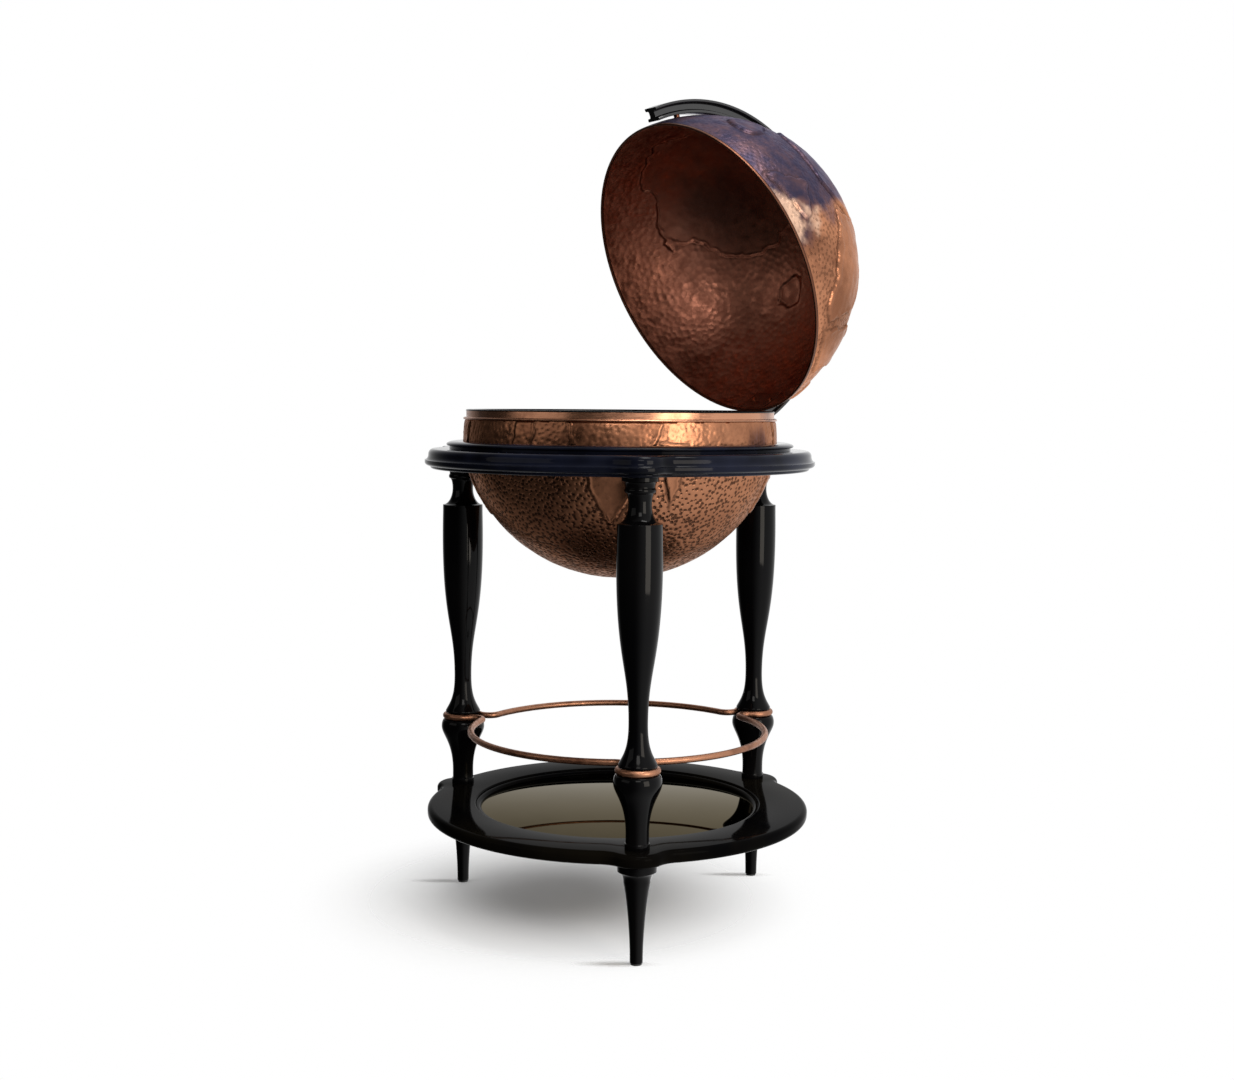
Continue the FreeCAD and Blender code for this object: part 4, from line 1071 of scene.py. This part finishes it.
# Where the relief fades beside the hinge, above it, about the post and beside the arm, in metres
HINGE_SIDES = (0.027, 0.036)
HINGE_HEIGHTS = (0.060, 0.072)
POST_HEIGHT = 0.0505
POST_REACH = (0.006, 0.012)
ARM_SIDES = (0.016, 0.034)


def lid_sheet(radius, back):
    """A fine half sphere about the closed lid's centre, with a plain one at its back."""
    hem = LID_CENTRE + Vector((0, 0, HOOP_HEIGHT * MM))
    bm = part_sphere(LID_CENTRE, radius, hem, clear_inner=True)
    start = math.asin((HOOP_HEIGHT + BACK_RAISE) / back)
    plain = Profile(back * math.cos(start), MOUTH + back * math.sin(start))
    for i in range(1, BACK_ROWS + 1):
        rise = start + (math.pi / 2 - start) * i / BACK_ROWS
        plain.lines((back * math.cos(rise), MOUTH + back * math.sin(rise)))
    joined_by_edges(bm, lathe(plain.points, GLOBE_STEPS))
    bmesh.ops.recalc_face_normals(bm, faces=bm.faces)
    return bm


def lid_calm(p, radius):
    """Where the lid stays smooth: a sheet's back, the hem, under the hinge and the post."""
    if abs((p - LID_CENTRE).length - radius) > 0.0004:
        return 0.0
    hem = ramp(p.z, (MOUTH + HOOP_HEIGHT) * MM, (MOUTH + HOOP_HEIGHT + 5.0) * MM)
    height = p.z - MOUTH * MM
    if p.y < 0:
        return hem * ramp(math.hypot(p.x, height - POST_HEIGHT), *POST_REACH)
    return hem * max(ramp(abs(p.x), *HINGE_SIDES), ramp(height, *HINGE_HEIGHTS))


def outer_calm(p, radius):
    """As on the lining, and flatter under the arm."""
    return lid_calm(p, radius) * (0.4 + 0.6 * ramp(abs(p.x), *ARM_SIDES))


def note_painted_highlight(bm):
    """Note on the lid's vertices where a highlight is painted in pale copper."""
    note = bm.verts.layers.float.new("painted_highlight")
    patches = [Relief.edges([on_globe(*corner) for corner in patch]) for patch in PAINTED_HIGHLIGHT_PATCHES]
    for v in bm.verts:
        n = (v.co - LID_CENTRE).normalized()
        away = min(max(n.dot(plane) for plane in patch) for patch in patches)
        ragged = 0.07 * noise.fractal(n * 7.0, 0.8, 2.1, 4)
        v[note] = 0.9 * (1 - ramp(away + ragged, -0.035, 0.045))


def front_oxide_and_sky_reflection(n):
    """Share of violet oxide with a painted blue sky reflection: over the front of the lid, with a
    ragged border.
    """
    ragged = 0.24 * noise.fractal(n * 3.4, 0.9, 2.0, 4)
    return ramp(-n.y + ragged, 0.10, 0.36)


def inner_stain(n):
    """Share of the soot-brown stain: one cloud beside the crown, on the left."""
    ragged = 0.16 * noise.fractal(n * 4.1, 0.9, 2.0, 4)
    return 0.78 * (1 - ramp(n.angle(on_globe(-156, 51)) + ragged, 0.03, 0.36))


class GLOBEBAR_OT_lid(Operator):
    """Raise the hammered lid with its lining and hem"""

    bl_idname = "globe_bar.lid"
    bl_label = "Lid"

    def execute(self, context):
        c = copper_settings()
        # Painted light: the lid's outside gets brighter copper than the bowl, 1.42 times its seas
        # and 1.45 times its lands
        outside = hammered_copper("lid_copper_painted_bright", scaled(c.sea, 1.42), scaled(c.land, 1.45),
                                  c.patina, c.pit, tint=c.oxide, roughness=0.27, pitted=True,
                                  painted_highlight=c.painted_highlight)
        relief = Relief(UPPER_LANDS, UPPER_TONGUES, wander=0.05,
                        rise=c.lid_land_height, coast=c.lid_coast_height,
                        spacing=c.pit_spacing, reach=c.pit_size, depth=c.blow_depth)
        bm = lid_sheet(LID_R, OUTER_BACK_R)
        relief.hammer(bm, LID_CENTRE, LID_R * MM, above=True,
                      calm=lambda p: outer_calm(p, LID_R * MM), tint=front_oxide_and_sky_reflection,
                      pitted=lambda n: 0.5 - 0.35 * front_oxide_and_sky_reflection(n), crease_share=0.58)
        note_painted_highlight(bm)
        lid_piece(bm, "hammered_lid", outside, "hammered_copper", "lid_shell", crisp=CRISP_HAMMERED)

        inside = hammered_copper("lining_copper", c.lining, scaled(c.lining, 0.85),
                                 scaled(c.lining, 0.45), c.pit, tint=c.stain, roughness=0.42)
        relief = Relief(UPPER_LANDS, UPPER_TONGUES, wander=0.10,
                        rise=c.land_height, coast=c.coast_height,
                        spacing=c.blow_spacing, reach=c.blow_spacing * 0.55, depth=c.blow_depth)
        bm = lid_sheet(LINING_R, LINING_BACK_R)
        relief.hammer(bm, LID_CENTRE, LINING_R * MM, above=True,
                      calm=lambda p: lid_calm(p, LINING_R * MM), tint=inner_stain,
                      pitted=lambda n: 0.0, crease_share=0.30)
        lid_piece(bm, "lid_lining", inside, "hammered_copper", crisp=CRISP_HAMMERED)

        dark = smooth_copper("hem_copper", c.hem, c.patina,
                             roughness=0.36, grain=(30.0, 30.0, 900.0))
        outer = math.sqrt(LID_R ** 2 - HOOP_HEIGHT ** 2)
        inner = LID_R - COPPER_WALL - 0.8
        hoop = Profile(inner, MOUTH)
        hoop.lines((outer, MOUTH), (outer, MOUTH + HOOP_HEIGHT), (inner, MOUTH + HOOP_HEIGHT))
        lid_piece(turned(hoop, steps=240, edge=1.2, closed=True), "lid_hem", dark,
                  "polished_copper", "lid_rim_hoop")
        return {"FINISHED"}


# The arm in millimetres, the slopes of its rolled section, and where its arc starts and ends
ARM_NEAR = LID_R + 3.8
ARM_FAR = LID_R + 24.8
ARM_HALF = 14.0
ARM_WEB = 6.5
ARM_FLANGE = 5.0
ARM_CHAMFER = (1.6, 1.4)
ARM_FILLET = 1.5
ARM_EASE = 1.2
ARM_REAR = math.radians(3.5)
ARM_FRONT = math.radians(1.4)
ARM_STEPS = 120


def arm_section():
    """Corners of the arm's section, sideways and out from the lid's centre."""
    inward, along = ARM_CHAMFER
    near, far = ARM_NEAR + ARM_FLANGE, ARM_FAR - ARM_FLANGE
    side = [(ARM_HALF, ARM_NEAR), (ARM_HALF, near - along), (ARM_HALF - inward, near),
            (ARM_WEB + ARM_FILLET, near), (ARM_WEB, near + ARM_FILLET),
            (ARM_WEB, far - ARM_FILLET), (ARM_WEB + ARM_FILLET, far),
            (ARM_HALF - inward, far), (ARM_HALF, far + along), (ARM_HALF, ARM_FAR)]
    return side + [(-x, r) for x, r in reversed(side)]


class GLOBEBAR_OT_arm(Operator):
    """Bend the black meridian arm over the lid"""

    bl_idname = "globe_bar.arm"
    bl_label = "Meridian Arm"

    def execute(self, context):
        black = lacquer("arm_lacquer", roughness=0.09, shine=0.90)
        ring = eased(arm_section(), ARM_EASE, True)
        bm = bmesh.new()
        verts = [bm.verts.new((x * MM, 0, (MOUTH + r) * MM)) for x, r in ring]
        edges = [bm.edges.new(pair) for pair in zip(verts, verts[1:] + verts[:1])]
        bmesh.ops.rotate(bm, verts=bm.verts, cent=LID_CENTRE,
                         matrix=Matrix.Rotation(ARM_REAR - math.pi / 2, 3, "X"))
        bmesh.ops.spin(bm, geom=verts + edges, cent=LID_CENTRE, axis=(1, 0, 0), dvec=(0, 0, 0),
                       angle=math.pi - ARM_REAR - ARM_FRONT, steps=ARM_STEPS,
                       use_merge=False, use_duplicate=False)
        bmesh.ops.holes_fill(bm, edges=[e for e in bm.edges if e.is_boundary], sides=0)
        bmesh.ops.recalc_face_normals(bm, faces=bm.faces)
        lid_piece(bm, "bent_arm", black, "black_metal", "meridian_arm")
        c = copper_settings()
        dark = smooth_copper("post_copper", c.patina, c.pit,
                             roughness=0.3, grain=(40.0, 40.0, 40.0))
        finish_node("front_post", dark)
        return {"FINISHED"}


class GLOBEBAR_OT_hinge(Operator):
    """Finish the hinge, its pin and its stop"""

    bl_idname = "globe_bar.hinge"
    bl_label = "Hinge"

    def execute(self, context):
        c = copper_settings()
        black = lacquer("hinge_lacquer", roughness=0.14)
        for node in ("hinge_block", "hinge_leaf", "stop_pad"):
            finish_node(node, black)
        dark = smooth_copper("backing_copper", scaled(c.lining, 0.7), scaled(c.lining, 0.4),
                             roughness=0.45, grain=(90.0, 90.0, 90.0))
        finish_node("leaf_backing_plate", dark)
        bright = smooth_copper("pin_copper", c.bright, c.patina,
                               roughness=0.25, grain=(300.0, 300.0, 300.0))
        for node in ("hinge_pin", "leaf_caps", "leaf_screws", "post_screw"):
            finish_node(node, bright)
        return {"FINISHED"}


class GLOBEBAR_OT_fixings(Operator):
    """Finish the studs, screws, flange and floor glides"""

    bl_idname = "globe_bar.fixings"
    bl_label = "Fixings"

    def execute(self, context):
        steel = plain_finish("fixing_steel", (0.50, 0.50, 0.50), (0.32, 0.32, 0.33),
                             metallic=1.0, roughness=0.35)
        for node in ("bowl_flange", "flange_screws", "leg_foot_studs", "leg_top_studs",
                     "panel_screws", "hinge_block_screws"):
            finish_node(node, steel)
        plastic = plain_finish("glide_plastic", (0.030, 0.030, 0.030), (0.018, 0.018, 0.018),
                               metallic=0.0, roughness=0.55)
        finish_node("floor_glides", plastic)
        return {"FINISHED"}


# The floor's own light, and where its shadow and the streaks beside the feet lie, in metres
FLOOR_R = 2.0
FLOOR_LIFT = 0.05
SHADOW_DRIFT = Vector((-0.09, 0.05, 0.0))
SHADOW_REACH = (0.05, 0.44)
STREAK_DRIFT = Vector((-0.03, 0.0, 0.0))
STREAK_SIZE = (0.075, 0.016, 1.0)
# The studio's bright side, and how much of the backdrop lights the object
BRIGHT_SIDE = Vector((0.95, 0.30, 0.0))
BACKDROP_SHARE = 0.85
# Lamps as seen from the camera's side: name, place, aim, size, power and colour
LAMPS = (
    ("front_softbox", (0.1, -2.3, 1.9), (0, 0.1, 0.95), (0.9, 0.7), 9.5, (1.0, 0.97, 0.93)),
    ("top_softbox", (0.55, -0.55, 3.0), (0, 0, 0.45), (1.1, 1.1), 34.0, (1.0, 0.98, 0.95)),
    ("side_strip", (1.72, -2.14, 0.9), (0, 0, 0.6), (1.2, 1.7), 32.0, (1.0, 0.91, 0.79)),
    ("left_panel", (-2.2, -1.3, 1.45), (0, 0.1, 0.95), (2.0, 1.2), 5.0, (1.0, 0.96, 0.92)),
)


def soft_light(name, place, aim, size, power, colour):
    data = bpy.data.lights.new(name, "AREA")
    data.shape = "RECTANGLE"
    data.size, data.size_y = size
    data.energy = power
    data.color = colour
    obj = bpy.data.objects.new(name, data)
    obj.location = place
    obj.rotation_mode = "QUATERNION"
    obj.rotation_quaternion = (Vector(aim) - place).to_track_quat("-Z", "Y")
    bpy.context.scene.collection.objects.link(obj)


def floor_material(colour, azimuth):
    """Pale floor that keeps the shadow under the object and beside each foot, and fades out."""
    turn = Matrix.Rotation(azimuth, 4, "Z")
    f = Finish("pale_floor")
    f.nodes.remove(f.shader)
    diffuse = f.node("ShaderNodeBsdfDiffuse", {"Color": (0.90, 0.90, 0.90)})
    path = f.node("ShaderNodeLightPath", {}).outputs
    lift = f.times(path["Is Camera Ray"], FLOOR_LIFT)
    glow = f.node("ShaderNodeEmission", {"Color": colour, "Strength": lift})
    lit = f.node("ShaderNodeAddShader", {0: diffuse.outputs[0], 1: glow.outputs[0]})
    clear = f.node("ShaderNodeBsdfTransparent", {})
    fade = f.span(f.measure("DISTANCE", f.object, turn @ SHADOW_DRIFT), *SHADOW_REACH)
    for leg in LEGS:
        foot = middle("foot_" + leg)
        place = turn @ STREAK_DRIFT + Vector((foot.x, foot.y, 0))
        streak = f.node("ShaderNodeMapping", {
            "Vector": f.object, "Location": place, "Rotation": (0, 0, azimuth),
            "Scale": STREAK_SIZE}, vector_type="TEXTURE").outputs["Vector"]
        fade = f.times(fade, f.span(f.measure("LENGTH", streak), 0.0, 1.0))
    mixed = f.node("ShaderNodeMixShader", {"Fac": fade, 1: lit.outputs[0], 2: clear.outputs[0]})
    f.put(f.nodes["Material Output"].inputs["Surface"], mixed.outputs[0])
    return f.material


def backdrop_world(colour, bright_side):
    """Backdrop that is white to the camera, and falls off to the studio's unlit side elsewhere."""
    world = bpy.data.worlds.new("studio")
    bpy.context.scene.world = world
    n = Nodes(world)
    path = n.node("ShaderNodeLightPath", {}).outputs
    towards = n.node("ShaderNodeTexCoord", {}).outputs["Generated"]
    falloff = n.span(n.measure("DOT_PRODUCT", towards, bright_side), -0.75, 0.50, 0.03, 1.0)
    reflected = n.figure("MAXIMUM", path["Is Glossy Ray"], path["Is Transmission Ray"])
    seen = n.figure("MAXIMUM", path["Is Camera Ray"], n.times(reflected, falloff))
    bounced = n.times(n.times(path["Is Diffuse Ray"], falloff), BACKDROP_SHARE)
    backdrop = n.nodes["Background"].inputs
    n.put(backdrop["Color"], colour)
    n.put(backdrop["Strength"], n.figure("MAXIMUM", seen, bounced))


def photo_camera(s):
    """Camera that looks at the globe's axis from the photograph's place."""
    forward = Vector((math.sin(s.yaw) * math.cos(s.pitch),
                      math.cos(s.yaw) * math.cos(s.pitch),
                      -math.sin(s.pitch)))
    right = Vector((math.cos(s.yaw), -math.sin(s.yaw), 0))
    up = right.cross(forward)
    level_right = math.cos(s.roll) * right + math.sin(s.roll) * up
    level_up = math.cos(s.roll) * up - math.sin(s.roll) * right
    axes = Matrix((level_right, level_up, -forward)).transposed().to_4x4()
    data = bpy.data.cameras.new("photo_camera")
    data.sensor_width = 36.0
    data.lens = s.lens
    data.clip_end = 100.0
    obj = bpy.data.objects.new("photo_camera", data)
    place = Matrix.Translation((0, -s.distance, s.height))
    obj.matrix_world = Matrix.Rotation(s.azimuth, 4, "Z") @ place @ axes
    bpy.context.scene.collection.objects.link(obj)
    bpy.context.scene.camera = obj


class GLOBEBAR_OT_stage(Operator):
    """Lay the pale floor and set the studio light and the camera"""

    bl_idname = "globe_bar.stage"
    bl_label = "Stage"

    def execute(self, context):
        s = context.scene.globe_bar_stage
        bm = bmesh.new()
        bmesh.ops.create_circle(bm, cap_ends=True, segments=96, radius=FLOOR_R)
        mesh = bpy.data.meshes.new("pale_floor")
        bm.to_mesh(mesh)
        bm.free()
        mesh.materials.append(floor_material(s.backdrop, s.azimuth))
        floor = bpy.data.objects.new("pale_floor", mesh)
        context.scene.collection.objects.link(floor)
        floor.visible_glossy = False
        photo_camera(s)
        turn = Matrix.Rotation(s.azimuth, 4, "Z")
        backdrop_world(s.backdrop, turn @ BRIGHT_SIDE)
        for name, place, *rest in LAMPS:
            soft_light(name, turn @ Vector(place), *rest)
        context.scene.view_settings.view_transform = "Standard"
        return {"FINISHED"}


PIECES = (GLOBEBAR_OT_legs, GLOBEBAR_OT_shelf, GLOBEBAR_OT_rail, GLOBEBAR_OT_ring,
          GLOBEBAR_OT_bowl, GLOBEBAR_OT_tray, GLOBEBAR_OT_lid, GLOBEBAR_OT_arm,
          GLOBEBAR_OT_hinge, GLOBEBAR_OT_fixings, GLOBEBAR_OT_stage)


class GLOBEBAR_PT_pieces(Panel):
    """Pieces of the globe bar, in the order in which they are made"""

    bl_label = "Globe Bar"
    bl_idname = "GLOBEBAR_PT_pieces"
    bl_space_type = "VIEW_3D"
    bl_region_type = "UI"
    bl_category = "Globe Bar"

    def draw(self, context):
        for settings in ("globe_bar_lacquer", "globe_bar_copper", "globe_bar_stage"):
            group = getattr(context.scene, settings)
            box = self.layout.box()
            for name in group.__annotations__:
                box.prop(group, name)
        for piece in PIECES:
            self.layout.operator(piece.bl_idname)


SETTINGS = (LacquerSettings, CopperSettings, StageSettings)


def register():
    for cls in SETTINGS + PIECES + (GLOBEBAR_PT_pieces,):
        bpy.utils.register_class(cls)
    bpy.types.Scene.globe_bar_lacquer = PointerProperty(type=LacquerSettings)
    bpy.types.Scene.globe_bar_copper = PointerProperty(type=CopperSettings)
    bpy.types.Scene.globe_bar_stage = PointerProperty(type=StageSettings)


def unregister():
    del bpy.types.Scene.globe_bar_stage
    del bpy.types.Scene.globe_bar_copper
    del bpy.types.Scene.globe_bar_lacquer
    for cls in reversed(SETTINGS + PIECES + (GLOBEBAR_PT_pieces,)):
        bpy.utils.unregister_class(cls)


def main():
    register()
    bpy.ops.globe_bar.legs()
    bpy.ops.globe_bar.shelf()
    bpy.ops.globe_bar.rail()
    bpy.ops.globe_bar.ring()
    bpy.ops.globe_bar.bowl()
    bpy.ops.globe_bar.tray()
    bpy.ops.globe_bar.lid()
    bpy.ops.globe_bar.arm()
    bpy.ops.globe_bar.hinge()
    bpy.ops.globe_bar.fixings()
    bpy.ops.globe_bar.stage()


if __name__ == "__main__":
    main()
